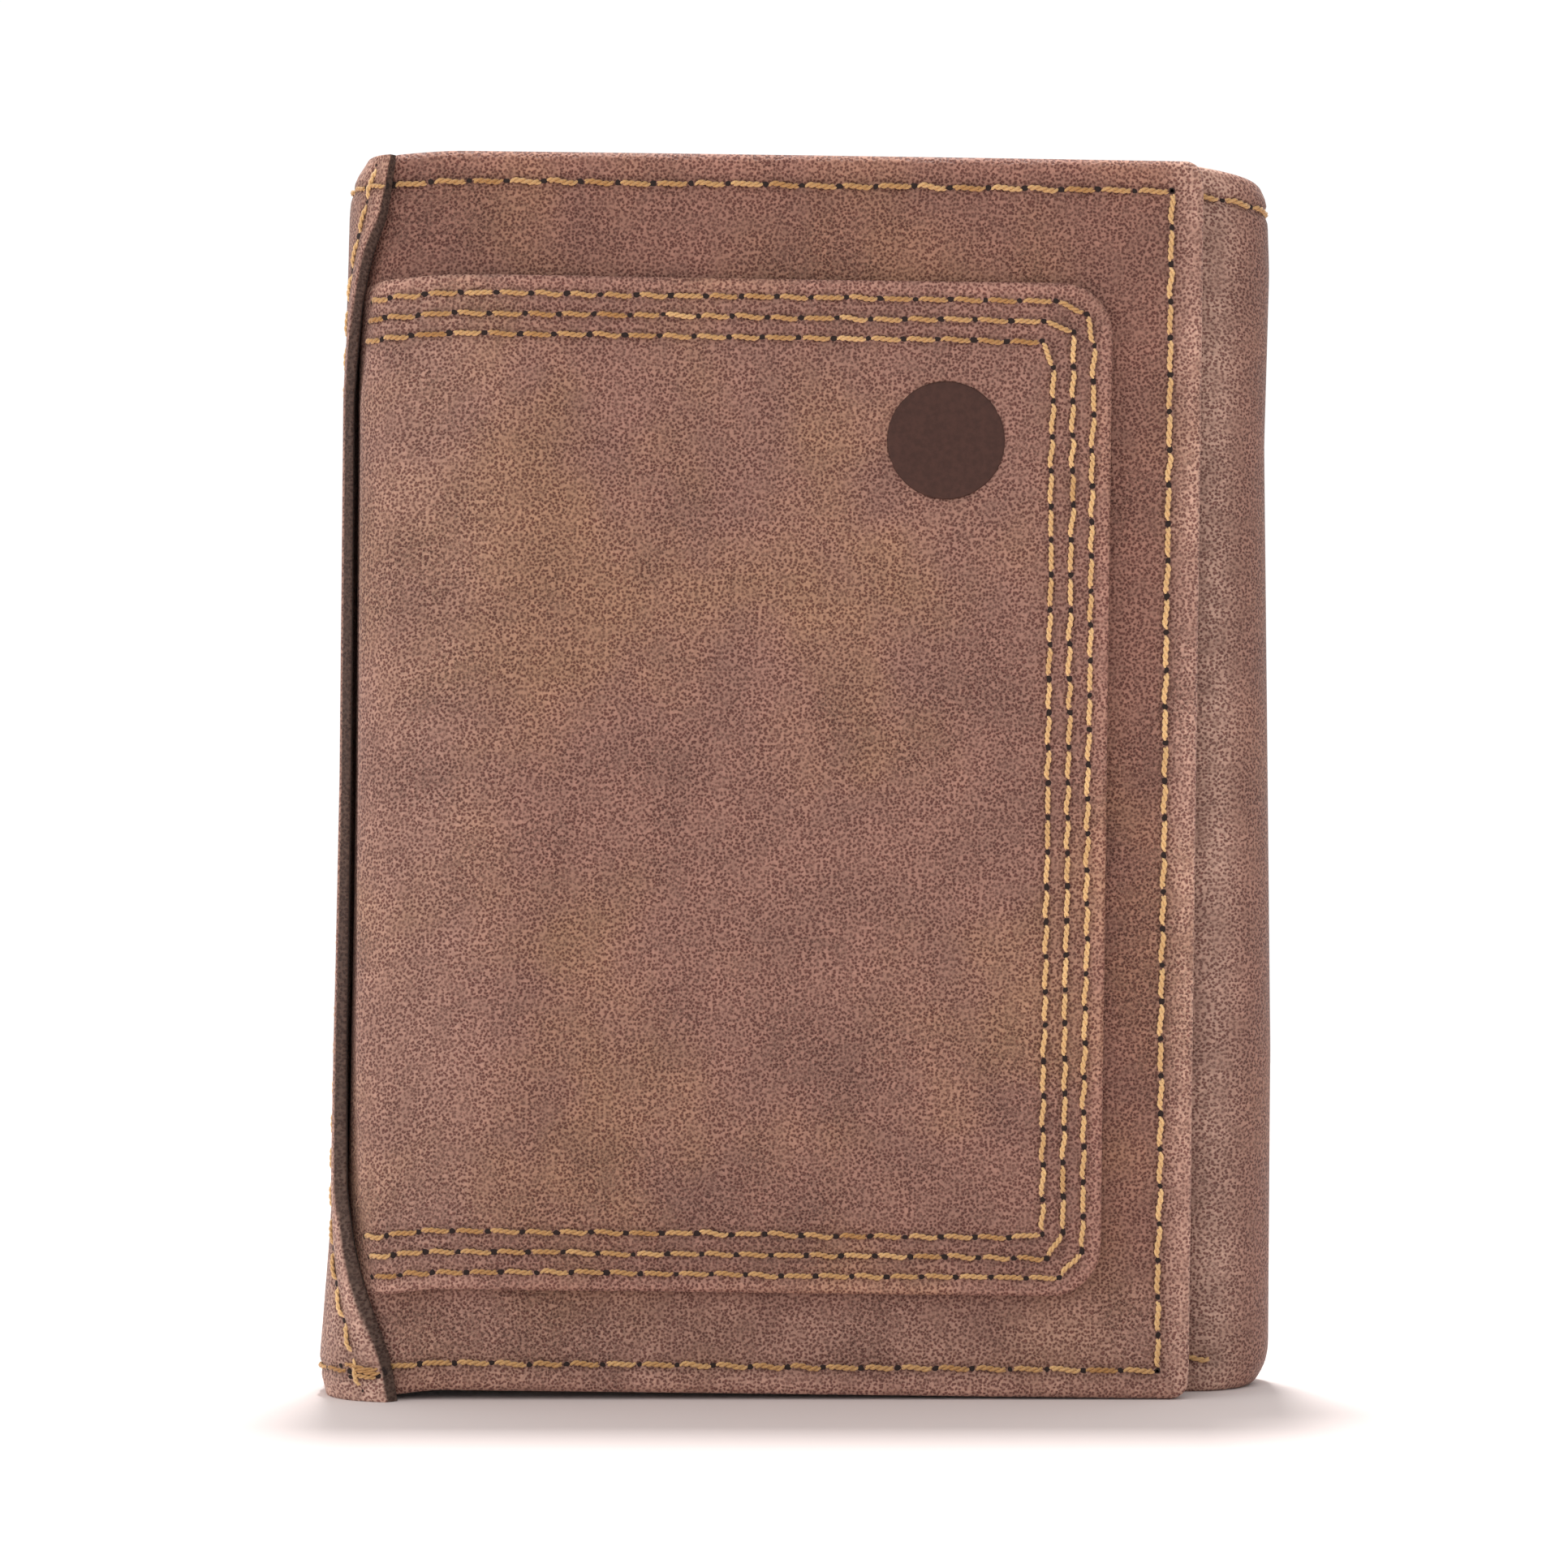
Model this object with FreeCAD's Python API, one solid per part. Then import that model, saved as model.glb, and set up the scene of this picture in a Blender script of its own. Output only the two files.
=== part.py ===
"""Trifold leather wallet, folded shut and standing on its bottom edges.

Frame: +Z up the wallet, +X to the wearer's right along the front face, -Y out of the front face.
The origin is the middle of the bottom of the folded wallet. Every length is in millimetres.

The wallet is three stiff panels joined by two soft folds:
  back panel  - the middle of the wallet, at +Y, with the right-hand fold sewn to it
  left spine  - the wide left-hand fold, which bends at two creases
  front flap  - the outermost flap, with the triple-stitched overlay
  inner flap  - the narrower flap that tucks in behind the front flap
"""

import FreeCAD, Part
import math
import os

Vector = FreeCAD.Vector

# Folded size
HEIGHT = 108.0
HALF_WIDTH = 41.0
HALF_DEPTH = 9.5

# Materials
OUTER_LEATHER = 1.3
INNER_LEATHER = 0.8
POCKET_LEATHER = 0.75
LINING = 0.25
FILM = 0.3
SLIP = 0.1

# Folds: outer radius, and how far the flat panels reach sideways
FOLD_RADIUS = 6.25
PANEL_END = HALF_WIDTH - FOLD_RADIUS
SIDE_CENTRE_Y = HALF_DEPTH - FOLD_RADIUS

# Front flap
FRONT_FREE_EDGE = 34.7
FRONT_FACE = -HALF_DEPTH + OUTER_LEATHER
FRONT_INNER_FACE = -5.8
FRONT_CORNER = 1.5
HEM = 6.0
TOP_HEM_DEPTH = 0.5

# Overlay and emblem
OVERLAY_RIGHT = 26.8
OVERLAY_LOW = 9.0
OVERLAY_HIGH = 97.0
OVERLAY_CORNER = 4.5
OVERLAY_ROWS = (1.6, 3.35, 5.1)
EMBLEM_X = 12.5
EMBLEM_Z = 83.2
EMBLEM_RADIUS = 5.2
EMBLEM_RECESS = 0.4
EMBLEM_THICKNESS = 0.3

# Inner flap
INNER_FREE_EDGE = -24.0
INNER_FACE = -3.0
INNER_PANEL_FACE = -0.85

# Back panel
BACK_PANEL_BACK = 6.2
DIVIDER_FACE = 7.0

# Interior pieces
PANEL_LOW = 1.0
PANEL_HIGH = 105.0
POCKET_LOW = 2.0
POCKET_TOPS = (94.0, 82.0, 70.0)
POCKET_NAMES = ("rear", "middle", "front")
BACK_POCKET_HALF_WIDTH = 32.0
INNER_POCKET_SPAN = (-23.2, 34.2)
LINING_LOW = 6.0
LINING_HIGH = 102.0
FRAME_HALF_WIDTH = 31.0
FRAME_LOW = 4.0
FRAME_HIGH = 100.0
WINDOW_HALF_WIDTH = 24.0
WINDOW_LOW = 11.0
WINDOW_HIGH = 90.0
WINDOW_CORNER = 3.0
FILM_MARGIN = 2.0

# Pocket mouth: the scooped front edge of the outer leather at the left fold
MOUTH_LOW = 3.0
MOUTH_HIGH = HEIGHT - 3.0
MOUTH_SLOPE = 15.0
MOUTH_ANGLE = 20.0
MOUTH_MARGIN = 0.5
MOUTH_THREAD_INSET = 2.6
INNER_SPINE_RADIUS = 2.0

# Thread
THREAD_RADIUS = 0.4
FINE_THREAD_RADIUS = 0.3
EDGE_PITCH = 3.25
OVERLAY_PITCH = 3.0
POCKET_PITCH = 3.0
STITCH_GAP = 0.7
EDGE_INSET = 2.8
TOP_INSET = 2.7
BOTTOM_INSET = 2.5
POCKET_INSET = 1.6
THREAD_LIFT = 0.02
SEAM_HEIGHTS = (BOTTOM_INSET, HEIGHT - TOP_INSET)

# Stitching channels, which keep the back's stitches below its face
CHANNEL_DEPTH = 0.45
CHANNEL_HALF_WIDTH = 0.5

OUT = "parts"


def slab(x0, x1, y0, y1, z0, z1):
    """A plain rectangular layer."""
    return Part.makeBox(x1 - x0, y1 - y0, z1 - z0, Vector(x0, y0, z0))


def outline(x0, x1, z0, z1, y, radius=0.0, sides=("left", "right")):
    """A flat face in the XZ plane at y, with the corners on the named sides rounded."""
    left = radius if "left" in sides else 0.0
    right = radius if "right" in sides else 0.0
    corners = (
        (x0, z0, left, 1, 1), (x1, z0, right, -1, 1), (x1, z1, right, -1, -1), (x0, z1, left, 1, -1),
    )
    edges = []
    ends = []
    for x, z, r, inward_x, inward_z in corners:
        along_z = Vector(x, y, z + inward_z * r)
        along_x = Vector(x + inward_x * r, y, z)
        centre = Vector(x + inward_x * r, y, z + inward_z * r)
        middle = centre + Vector(-inward_x, 0, -inward_z) * (r / math.sqrt(2))
        clockwise = inward_x * inward_z > 0
        first, last = (along_z, along_x) if clockwise else (along_x, along_z)
        ends.append((first, middle, last, r))
    for number, (first, middle, last, r) in enumerate(ends):
        if r > 0:
            edges.append(Part.Arc(first, middle, last).toShape())
        following = ends[(number + 1) % len(ends)][0]
        edges.append(Part.LineSegment(last, following).toShape())
    return Part.Face(Part.Wire(edges))


def sheet(x0, x1, y0, y1, z0, z1, radius=0.0, sides=("left", "right")):
    """A flat layer from y0 to y1 with rounded corners on the named sides."""
    return outline(x0, x1, z0, z1, y0, radius, sides).extrude(Vector(0, y1 - y0, 0))


def bend(centre_x, centre_y, r_out, r_in, start, sweep, z0, z1):
    """A curved layer round a vertical line. Angles are in degrees, counter-clockwise from +X."""
    foot = Vector(centre_x, centre_y, z0)
    up = Vector(0, 0, 1)
    solid = Part.makeCylinder(r_out, z1 - z0, foot, up, sweep)
    if r_in > 0:
        solid = solid.cut(Part.makeCylinder(r_in, z1 - z0, foot, up, 360))
    solid.rotate(foot, up, start)
    return solid


def fuse(*solids):
    """One clean solid from touching ones."""
    return solids[0].multiFuse(list(solids[1:])).removeSplitter()


def left_fold(front_y, back_y, r_out, thickness, z0, z1):
    """A U-shaped layer of the left fold, between a front panel face and a back panel face."""
    r_in = r_out - thickness
    front_centre = front_y + r_out
    back_centre = back_y - r_out
    side = slab(-PANEL_END - r_out, -PANEL_END - r_in, front_centre, back_centre, z0, z1)
    front = bend(-PANEL_END, front_centre, r_out, r_in, 180, 90, z0, z1)
    back = bend(-PANEL_END, back_centre, r_out, r_in, 90, 90, z0, z1)
    return fuse(side, front, back)


def mouth_cutter(margin):
    """The space in front of the scooped edge, shrunk by margin on every side."""
    floor_y = -SIDE_CENTRE_Y - FOLD_RADIUS * math.sin(math.radians(MOUTH_ANGLE)) - margin
    front_y = -HALF_DEPTH - FOLD_RADIUS
    edge_y = -HALF_DEPTH
    low, high = MOUTH_LOW + margin, MOUTH_HIGH - margin
    points = [
        Vector(0, edge_y, low), Vector(0, floor_y, low + MOUTH_SLOPE),
        Vector(0, floor_y, high - MOUTH_SLOPE), Vector(0, edge_y, high),
        Vector(0, front_y, high), Vector(0, front_y, low),
    ]
    prism = Part.Face(Part.makePolygon(points + points[:1])).extrude(Vector(-2 * FOLD_RADIUS, 0, 0))
    rounded = [e for e in prism.Edges if is_scoop_corner(e, floor_y)]
    prism = prism.makeFillet(MOUTH_SLOPE, rounded)
    prism.translate(Vector(-PANEL_END + SLIP, 0, 0))
    return prism


def is_scoop_corner(edge, floor_y):
    """True for the two long edges where the scoop turns from its slope to its floor."""
    ends = [v.Point for v in edge.Vertexes]
    on_floor = all(abs(p.y - floor_y) < SLIP / 10 for p in ends)
    return on_floor and abs(ends[0].z - ends[1].z) < SLIP / 10


# Stitches


def divide(points, pitch):
    """Points a stitch apart along a polyline of (u, v) pairs."""
    lengths = [math.dist(a, b) for a, b in zip(points, points[1:])]
    count = max(1, round(sum(lengths) / pitch))
    found = []
    for number in range(count + 1):
        left = sum(lengths) * number / count
        for (a, b), length in zip(zip(points, points[1:]), lengths):
            if left <= length or (a, b) == (points[-2], points[-1]):
                share = left / length
                found.append(tuple(p + (q - p) * share for p, q in zip(a, b)))
                break
            left -= length
    return found


def stitch(start, end, outward, radius):
    """A half-round bar of thread lying on a face, from start to end, short of both needle holes."""
    along = (end - start).normalize()
    across = along.cross(outward).normalize()
    first = start + along * (STITCH_GAP / 2)
    last = end - along * (STITCH_GAP / 2)
    arc = Part.Arc(first - across * radius, first + outward * radius, first + across * radius).toShape()
    flat = Part.LineSegment(first + across * radius, first - across * radius).toShape()
    return Part.Face(Part.Wire([arc, flat])).extrude(last - first)


def flat_row(points, pitch, y, facing, radius):
    """Stitches along a polyline of (x, z) points on the face at y. facing is -1 for a front face."""
    ends = divide(points, pitch)
    place = [Vector(x, y, z) for x, z in ends]
    return [stitch(a, b, Vector(0, facing, 0), radius) for a, b in zip(place, place[1:])]


def on_cylinder(centre_x, centre_y, radius, points, pitch):
    """Straight stitches just clear of a vertical cylinder, along a polyline of (angle, z) points."""
    stretched = [(math.radians(angle) * radius, z) for angle, z in points]
    rows = []
    ends = divide(stretched, pitch)
    for (arc_a, za), (arc_b, zb) in zip(ends, ends[1:]):
        reach = radius / math.cos((arc_b - arc_a) / 2 / radius) + THREAD_LIFT
        place = []
        for arc, z in ((arc_a, za), (arc_b, zb)):
            angle = arc / radius
            place.append(Vector(centre_x + reach * math.cos(angle), centre_y + reach * math.sin(angle), z))
        middle = (arc_a + arc_b) / 2 / radius
        outward = Vector(math.cos(middle), math.sin(middle), 0)
        rows.append(stitch(place[0], place[1], outward, FINE_THREAD_RADIUS))
    return rows


def round_channels(centre_x, start, sweep, heights=SEAM_HEIGHTS):
    """The stitching channels round a fold at the back, as rings to cut away."""
    return [
        bend(centre_x, SIDE_CENTRE_Y, FOLD_RADIUS + SLIP, FOLD_RADIUS - CHANNEL_DEPTH, start, sweep,
             z - CHANNEL_HALF_WIDTH, z + CHANNEL_HALF_WIDTH)
        for z in heights
    ]


def round_seams(centre_x, first, last, heights=SEAM_HEIGHTS):
    """The stitches that lie in a fold's channels, between two angles."""
    rows = []
    for z in heights:
        rows += on_cylinder(centre_x, SIDE_CENTRE_Y, FOLD_RADIUS - CHANNEL_DEPTH,
                            [(first, z), (last, z)], EDGE_PITCH)
    return rows


# Front flap


def flap_leather(fold_x, free_x, face, turned_to):
    """A flap's outer leather, from its fold to its free edge, turned in at the bottom, free edge and top."""
    side = "right" if free_x > fold_x else "left"
    towards_fold = math.copysign(1.0, fold_x - free_x)
    x0, x1 = sorted((fold_x, free_x))
    inside = face + OUTER_LEATHER
    panel = sheet(x0, x1, face, inside, 0, HEIGHT, FRONT_CORNER, (side,))
    turned = sheet(x0, x1, inside, turned_to, 0, HEIGHT - HEM, FRONT_CORNER, (side,))
    hollow = sorted((fold_x, free_x + towards_fold * HEM))
    turned = turned.cut(slab(*hollow, inside, turned_to, HEM, HEIGHT))
    hem = sorted((fold_x, free_x + towards_fold * HEM / 2))
    top = slab(*hem, inside, inside + TOP_HEM_DEPTH, HEIGHT - HEM, HEIGHT - SLIP)
    return fuse(panel, turned, top)


def front_overlay_leather():
    """The overlay, which runs round the front left corner inside the pocket mouth."""
    face = -HALF_DEPTH
    panel = sheet(-PANEL_END, OVERLAY_RIGHT, face, FRONT_FACE, OVERLAY_LOW, OVERLAY_HIGH,
                  OVERLAY_CORNER, ("right",))
    corner = bend(-PANEL_END, -SIDE_CENTRE_Y, FOLD_RADIUS, FOLD_RADIUS - OUTER_LEATHER,
                  180, 90, OVERLAY_LOW, OVERLAY_HIGH)
    corner = corner.common(mouth_cutter(MOUTH_MARGIN))
    centre = Vector(EMBLEM_X, face, EMBLEM_Z)
    recess = Part.makeCylinder(EMBLEM_RADIUS, EMBLEM_RECESS, centre, Vector(0, 1, 0))
    return fuse(panel, corner).cut(recess)


def emblem_disc():
    """The plain round disc that sits in the overlay's recess, just below its face."""
    face = -HALF_DEPTH + EMBLEM_RECESS - EMBLEM_THICKNESS
    centre = Vector(EMBLEM_X, face, EMBLEM_Z)
    return Part.makeCylinder(EMBLEM_RADIUS - SLIP, EMBLEM_THICKNESS, centre, Vector(0, 1, 0))


def overlay_row(inset):
    """One of the three rows of stitches that hold the overlay, parallel to its edge."""
    right = OVERLAY_RIGHT - inset
    low, high = OVERLAY_LOW + inset, OVERLAY_HIGH - inset
    corner = max(0.0, OVERLAY_CORNER - inset) * (2 - math.sqrt(2))
    points = [(-PANEL_END, low), (right - corner, low)]
    if corner > SLIP:
        points += [(right, low + corner), (right, high - corner)]
    else:
        points += [(right, high)]
    points += [(right - corner, high), (-PANEL_END, high)]
    return flat_row(points, OVERLAY_PITCH, -HALF_DEPTH, -1, THREAD_RADIUS)


def front_edge_thread():
    """The row round the top, free edge and bottom of the front panel."""
    right, low, high = FRONT_FREE_EDGE - EDGE_INSET, BOTTOM_INSET, HEIGHT - TOP_INSET
    points = [(-PANEL_END, low), (right, low), (right, high), (-PANEL_END, high)]
    return flat_row(points, EDGE_PITCH, FRONT_FACE, -1, THREAD_RADIUS)


def id_window_frame():
    """The leather frame with a window through it."""
    face = FRONT_INNER_FACE + INNER_LEATHER + FILM
    back = face + POCKET_LEATHER
    frame = slab(-FRAME_HALF_WIDTH, FRAME_HALF_WIDTH, face, back, FRAME_LOW, FRAME_HIGH)
    window = sheet(-WINDOW_HALF_WIDTH, WINDOW_HALF_WIDTH, face, back, WINDOW_LOW, WINDOW_HIGH, WINDOW_CORNER)
    return frame.cut(window)


def id_window_thread():
    """The row down one side of the window frame, along the bottom and up the other."""
    x, low, high = FRAME_HALF_WIDTH - POCKET_INSET, FRAME_LOW + POCKET_INSET, FRAME_HIGH - POCKET_INSET
    y = FRONT_INNER_FACE + INNER_LEATHER + FILM + POCKET_LEATHER
    return flat_row([(-x, high), (-x, low), (x, low), (x, high)], POCKET_PITCH, y, 1, FINE_THREAD_RADIUS)


def front_flap():
    """Every piece that swings with the front flap."""
    film_y = FRONT_INNER_FACE + INNER_LEATHER
    film_x = FRAME_HALF_WIDTH - FILM_MARGIN
    lining_y = FRONT_FACE + OUTER_LEATHER
    inner_edge = FRONT_FREE_EDGE - FRONT_CORNER
    return {
        "front_outer_leather": flap_leather(-PANEL_END, FRONT_FREE_EDGE, FRONT_FACE, FRONT_INNER_FACE),
        "front_overlay_leather": front_overlay_leather(),
        "emblem_disc": emblem_disc(),
        "overlay_thread_outer": overlay_row(OVERLAY_ROWS[0]),
        "overlay_thread_middle": overlay_row(OVERLAY_ROWS[1]),
        "overlay_thread_inner": overlay_row(OVERLAY_ROWS[2]),
        "front_edge_thread": front_edge_thread(),
        "front_lining": slab(-PANEL_END, FRONT_FREE_EDGE - HEM, lining_y, lining_y + LINING,
                             LINING_LOW, LINING_HIGH),
        "front_inner_leather": slab(-PANEL_END, inner_edge, FRONT_INNER_FACE, film_y, PANEL_LOW, PANEL_HIGH),
        "id_window_film": slab(-film_x, film_x, film_y, film_y + FILM,
                               FRAME_LOW + FILM_MARGIN, FRAME_HIGH - FILM_MARGIN),
        "id_window_frame": id_window_frame(),
        "id_window_thread": id_window_thread(),
    }


# Left spine


def left_fold_outer_leather():
    """The outer leather round the left side, scooped along its front edge as a pocket mouth."""
    whole = left_fold(-HALF_DEPTH, HALF_DEPTH, FOLD_RADIUS, OUTER_LEATHER, 0, HEIGHT)
    return whole.cut([mouth_cutter(0.0)] + round_channels(-PANEL_END, 90, 90))


def pocket_mouth_thread():
    """The row along the scooped edge, a little way back from it."""
    drop = math.degrees(MOUTH_THREAD_INSET / FOLD_RADIUS)
    front = 270 - drop
    middle = 180 + MOUTH_ANGLE - drop
    low, high = MOUTH_LOW, MOUTH_HIGH
    points = [(front, low), (middle, low + MOUTH_SLOPE), (middle, high - MOUTH_SLOPE), (front, high)]
    return on_cylinder(-PANEL_END, -SIDE_CENTRE_Y, FOLD_RADIUS, points, EDGE_PITCH)


def left_fold_thread():
    """The two short rows that carry the top and bottom seams round the back of the left fold."""
    return round_seams(-PANEL_END, 95, 178)


def left_spine():
    """Every piece of the left fold."""
    pocket_radius = FOLD_RADIUS - OUTER_LEATHER - SLIP
    pocket_face = -HALF_DEPTH + OUTER_LEATHER + SLIP
    lining_radius = pocket_radius - OUTER_LEATHER + SLIP
    lining_face = pocket_face + OUTER_LEATHER
    return {
        "left_fold_outer_leather": left_fold_outer_leather(),
        "left_fold_pocket_leather": left_fold(pocket_face, -pocket_face, pocket_radius,
                                              OUTER_LEATHER - SLIP, 0, HEIGHT),
        "left_fold_lining": left_fold(lining_face, -lining_face, lining_radius - SLIP, LINING,
                                      LINING_LOW, LINING_HIGH),
        "left_fold_inner_leather": left_fold(FRONT_INNER_FACE, BACK_PANEL_BACK, INNER_SPINE_RADIUS,
                                             INNER_LEATHER, PANEL_LOW, PANEL_HIGH),
        "pocket_mouth_thread": pocket_mouth_thread(),
        "left_fold_thread": left_fold_thread(),
    }


# Inner flap


def card_pockets(prefix, x0, x1, y, facing):
    """Three stepped card pockets, the rear one against the panel face at y."""
    pockets = {}
    for number, (name, top) in enumerate(zip(POCKET_NAMES, POCKET_TOPS)):
        near = y + facing * number * POCKET_LEATHER
        low_y, high_y = sorted((near, near + facing * POCKET_LEATHER))
        pockets[f"{prefix}_card_pocket_{name}"] = slab(x0, x1, low_y, high_y, POCKET_LOW, top)
    return pockets


def pocket_thread(x0, x1, y, facing):
    """The U-shaped row that holds the front card pocket at its sides and bottom."""
    low, high = POCKET_LOW + POCKET_INSET, POCKET_TOPS[-1] - POCKET_INSET
    left, right = x0 + POCKET_INSET, x1 - POCKET_INSET
    points = [(left, high), (left, low), (right, low), (right, high)]
    return flat_row(points, POCKET_PITCH, y, facing, FINE_THREAD_RADIUS)


def inner_flap_edge_thread():
    """The row round the top, free edge and bottom of the inner flap."""
    left, low, high = INNER_FREE_EDGE + EDGE_INSET, BOTTOM_INSET, HEIGHT - TOP_INSET
    points = [(PANEL_END, low), (left, low), (left, high), (PANEL_END, high)]
    return flat_row(points, EDGE_PITCH, INNER_FACE, -1, THREAD_RADIUS)


def inner_flap():
    """Every piece that swings with the inner flap."""
    lining_y = INNER_FACE + OUTER_LEATHER
    pocket_y = INNER_PANEL_FACE + INNER_LEATHER
    x0, x1 = INNER_POCKET_SPAN
    thread_y = pocket_y + len(POCKET_TOPS) * POCKET_LEATHER
    pieces = {
        "inner_flap_outer_leather": flap_leather(PANEL_END, INNER_FREE_EDGE, INNER_FACE,
                                                INNER_PANEL_FACE),
        "inner_flap_lining": slab(INNER_FREE_EDGE + HEM, PANEL_END, lining_y, lining_y + LINING,
                                  LINING_LOW, LINING_HIGH),
        "inner_flap_inner_leather": slab(INNER_FREE_EDGE + SLIP, PANEL_END, INNER_PANEL_FACE, pocket_y,
                                         PANEL_LOW, PANEL_HIGH),
        "inner_flap_edge_thread": inner_flap_edge_thread(),
        "inner_flap_pocket_thread": pocket_thread(x0, x1, thread_y, 1),
    }
    pieces.update(card_pockets("inner_flap", x0, x1, pocket_y, 1))
    return pieces


# Back panel and right fold


def back_outer_leather():
    """The outer leather of the back: a deep hem at the bottom, a thin one on top and two channels."""
    inside = HALF_DEPTH - OUTER_LEATHER
    panel = slab(-PANEL_END, PANEL_END, inside, HALF_DEPTH, 0, HEIGHT)
    bottom = slab(-PANEL_END, PANEL_END, BACK_PANEL_BACK, inside, 0, HEM)
    top = slab(-PANEL_END, PANEL_END, inside - TOP_HEM_DEPTH, inside, HEIGHT - HEM, HEIGHT - SLIP)
    channels = [
        slab(-PANEL_END - SLIP, PANEL_END + SLIP, HALF_DEPTH - CHANNEL_DEPTH, HALF_DEPTH + SLIP,
             z - CHANNEL_HALF_WIDTH, z + CHANNEL_HALF_WIDTH)
        for z in SEAM_HEIGHTS
    ]
    return fuse(panel, bottom, top).cut(channels)


def back_edge_thread():
    """The top and bottom rows across the back, on the floors of their channels."""
    floor = HALF_DEPTH - CHANNEL_DEPTH
    rows = []
    for z in SEAM_HEIGHTS:
        rows += flat_row([(-PANEL_END, z), (PANEL_END, z)], EDGE_PITCH, floor, 1, THREAD_RADIUS)
    return rows


def right_fold(r_out, thickness, centre_y, z0, z1):
    """A half-round layer of the right fold."""
    return bend(PANEL_END, centre_y, r_out, r_out - thickness, -90, 180, z0, z1)


def right_fold_thread():
    """The top row round the right fold, whose bottom edge is turned under without a row."""
    return round_seams(PANEL_END, -86, 86, SEAM_HEIGHTS[1:])


def back_panel():
    """Every piece of the back panel, with the right fold."""
    half = BACK_POCKET_HALF_WIDTH
    pocket_y = BACK_PANEL_BACK - INNER_LEATHER
    thread_y = pocket_y - len(POCKET_TOPS) * POCKET_LEATHER
    lining_y = HALF_DEPTH - OUTER_LEATHER
    inner_radius = (BACK_PANEL_BACK - INNER_PANEL_FACE) / 2
    inner_centre = (BACK_PANEL_BACK + INNER_PANEL_FACE) / 2
    lining_radius = FOLD_RADIUS - OUTER_LEATHER - SLIP
    pieces = {
        "back_outer_leather": back_outer_leather(),
        "back_lining": slab(-PANEL_END, PANEL_END, lining_y - LINING, lining_y, LINING_LOW, LINING_HIGH),
        "bill_divider": slab(-PANEL_END, PANEL_END, DIVIDER_FACE, DIVIDER_FACE + LINING,
                             HEM, PANEL_HIGH - HEM),
        "back_inner_leather": slab(-PANEL_END, PANEL_END, pocket_y, BACK_PANEL_BACK, PANEL_LOW, PANEL_HIGH),
        "back_edge_thread": back_edge_thread(),
        "back_pocket_thread": pocket_thread(-half, half, thread_y, -1),
        "right_fold_outer_leather": right_fold(FOLD_RADIUS, OUTER_LEATHER, SIDE_CENTRE_Y, 0, HEIGHT).cut(
            round_channels(PANEL_END, -90, 180, SEAM_HEIGHTS[1:])),
        "right_fold_lining": right_fold(lining_radius, LINING, SIDE_CENTRE_Y, LINING_LOW, LINING_HIGH),
        "right_fold_inner_leather": right_fold(inner_radius, INNER_LEATHER, inner_centre,
                                               PANEL_LOW, PANEL_HIGH),
        "right_fold_thread": right_fold_thread(),
    }
    pieces.update(card_pockets("back", -half, half, pocket_y, -1))
    return pieces


def main():
    """Writes one STEP file per node."""
    os.makedirs(OUT, exist_ok=True)
    for group in (back_panel(), left_spine(), front_flap(), inner_flap()):
        for name, shape in group.items():
            solid = Part.makeCompound(shape) if isinstance(shape, list) else shape
            solid.exportStep(os.path.join(OUT, name + ".step"))


main()
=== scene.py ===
import math

import bpy
import numpy as np
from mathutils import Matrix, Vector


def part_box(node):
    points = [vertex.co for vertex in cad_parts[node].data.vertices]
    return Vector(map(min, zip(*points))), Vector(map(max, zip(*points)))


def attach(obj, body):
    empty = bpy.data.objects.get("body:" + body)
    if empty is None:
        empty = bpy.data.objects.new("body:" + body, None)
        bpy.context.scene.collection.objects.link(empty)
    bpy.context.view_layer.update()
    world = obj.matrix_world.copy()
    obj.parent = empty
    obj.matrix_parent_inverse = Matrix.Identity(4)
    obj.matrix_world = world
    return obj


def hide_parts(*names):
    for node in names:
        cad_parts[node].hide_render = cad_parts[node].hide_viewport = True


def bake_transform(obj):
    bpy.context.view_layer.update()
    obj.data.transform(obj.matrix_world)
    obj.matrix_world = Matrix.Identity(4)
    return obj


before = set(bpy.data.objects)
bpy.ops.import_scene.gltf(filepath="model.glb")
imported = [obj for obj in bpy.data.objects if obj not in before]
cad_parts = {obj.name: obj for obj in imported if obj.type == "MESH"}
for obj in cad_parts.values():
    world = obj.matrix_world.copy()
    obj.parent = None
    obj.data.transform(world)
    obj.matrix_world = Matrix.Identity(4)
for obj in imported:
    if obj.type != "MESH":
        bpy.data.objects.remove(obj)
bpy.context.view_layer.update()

# Shapes are worked out in millimetres, in the frame's axes, and turned into metres as they become meshes.
MM = 0.001


def box_mm(node):
    """The lowest and highest corner of a CAD node, in mm."""
    low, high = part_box(node)
    return np.array(low) / MM, np.array(high) / MM


def smooth(low, high, value):
    """0 below low, 1 above high and an even ramp between. It also runs backwards, from high to low."""
    t = np.clip((value - low) / (high - low), 0.0, 1.0)
    return t * t * (3 - 2 * t)


# ---------------------------------------------------------------- sizes, from the frame

WRAP_LOW, WRAP_HIGH = box_mm("left_fold_outer_leather")
PANEL_LOW, PANEL_HIGH = box_mm("front_outer_leather")
OVERLAY_LOW, OVERLAY_HIGH = box_mm("front_overlay_leather")
FLAP_LOW, FLAP_HIGH = box_mm("inner_flap_outer_leather")
FACING_LOW, FACING_HIGH = box_mm("front_inner_leather")
BACK_FACING_LOW = box_mm("back_inner_leather")[0]
FLAP_FACING_LOW, FLAP_FACING_HIGH = box_mm("inner_flap_inner_leather")
SPINE_FACING_LOW = box_mm("left_fold_inner_leather")[0]
LINING_LOW, LINING_HIGH = box_mm("left_fold_lining")
FLAP_LINING_LOW = box_mm("inner_flap_lining")[0]
FRONT_LINING_HIGH = box_mm("front_lining")[1]
POCKET_LOW = box_mm("left_fold_pocket_leather")[0]
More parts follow.
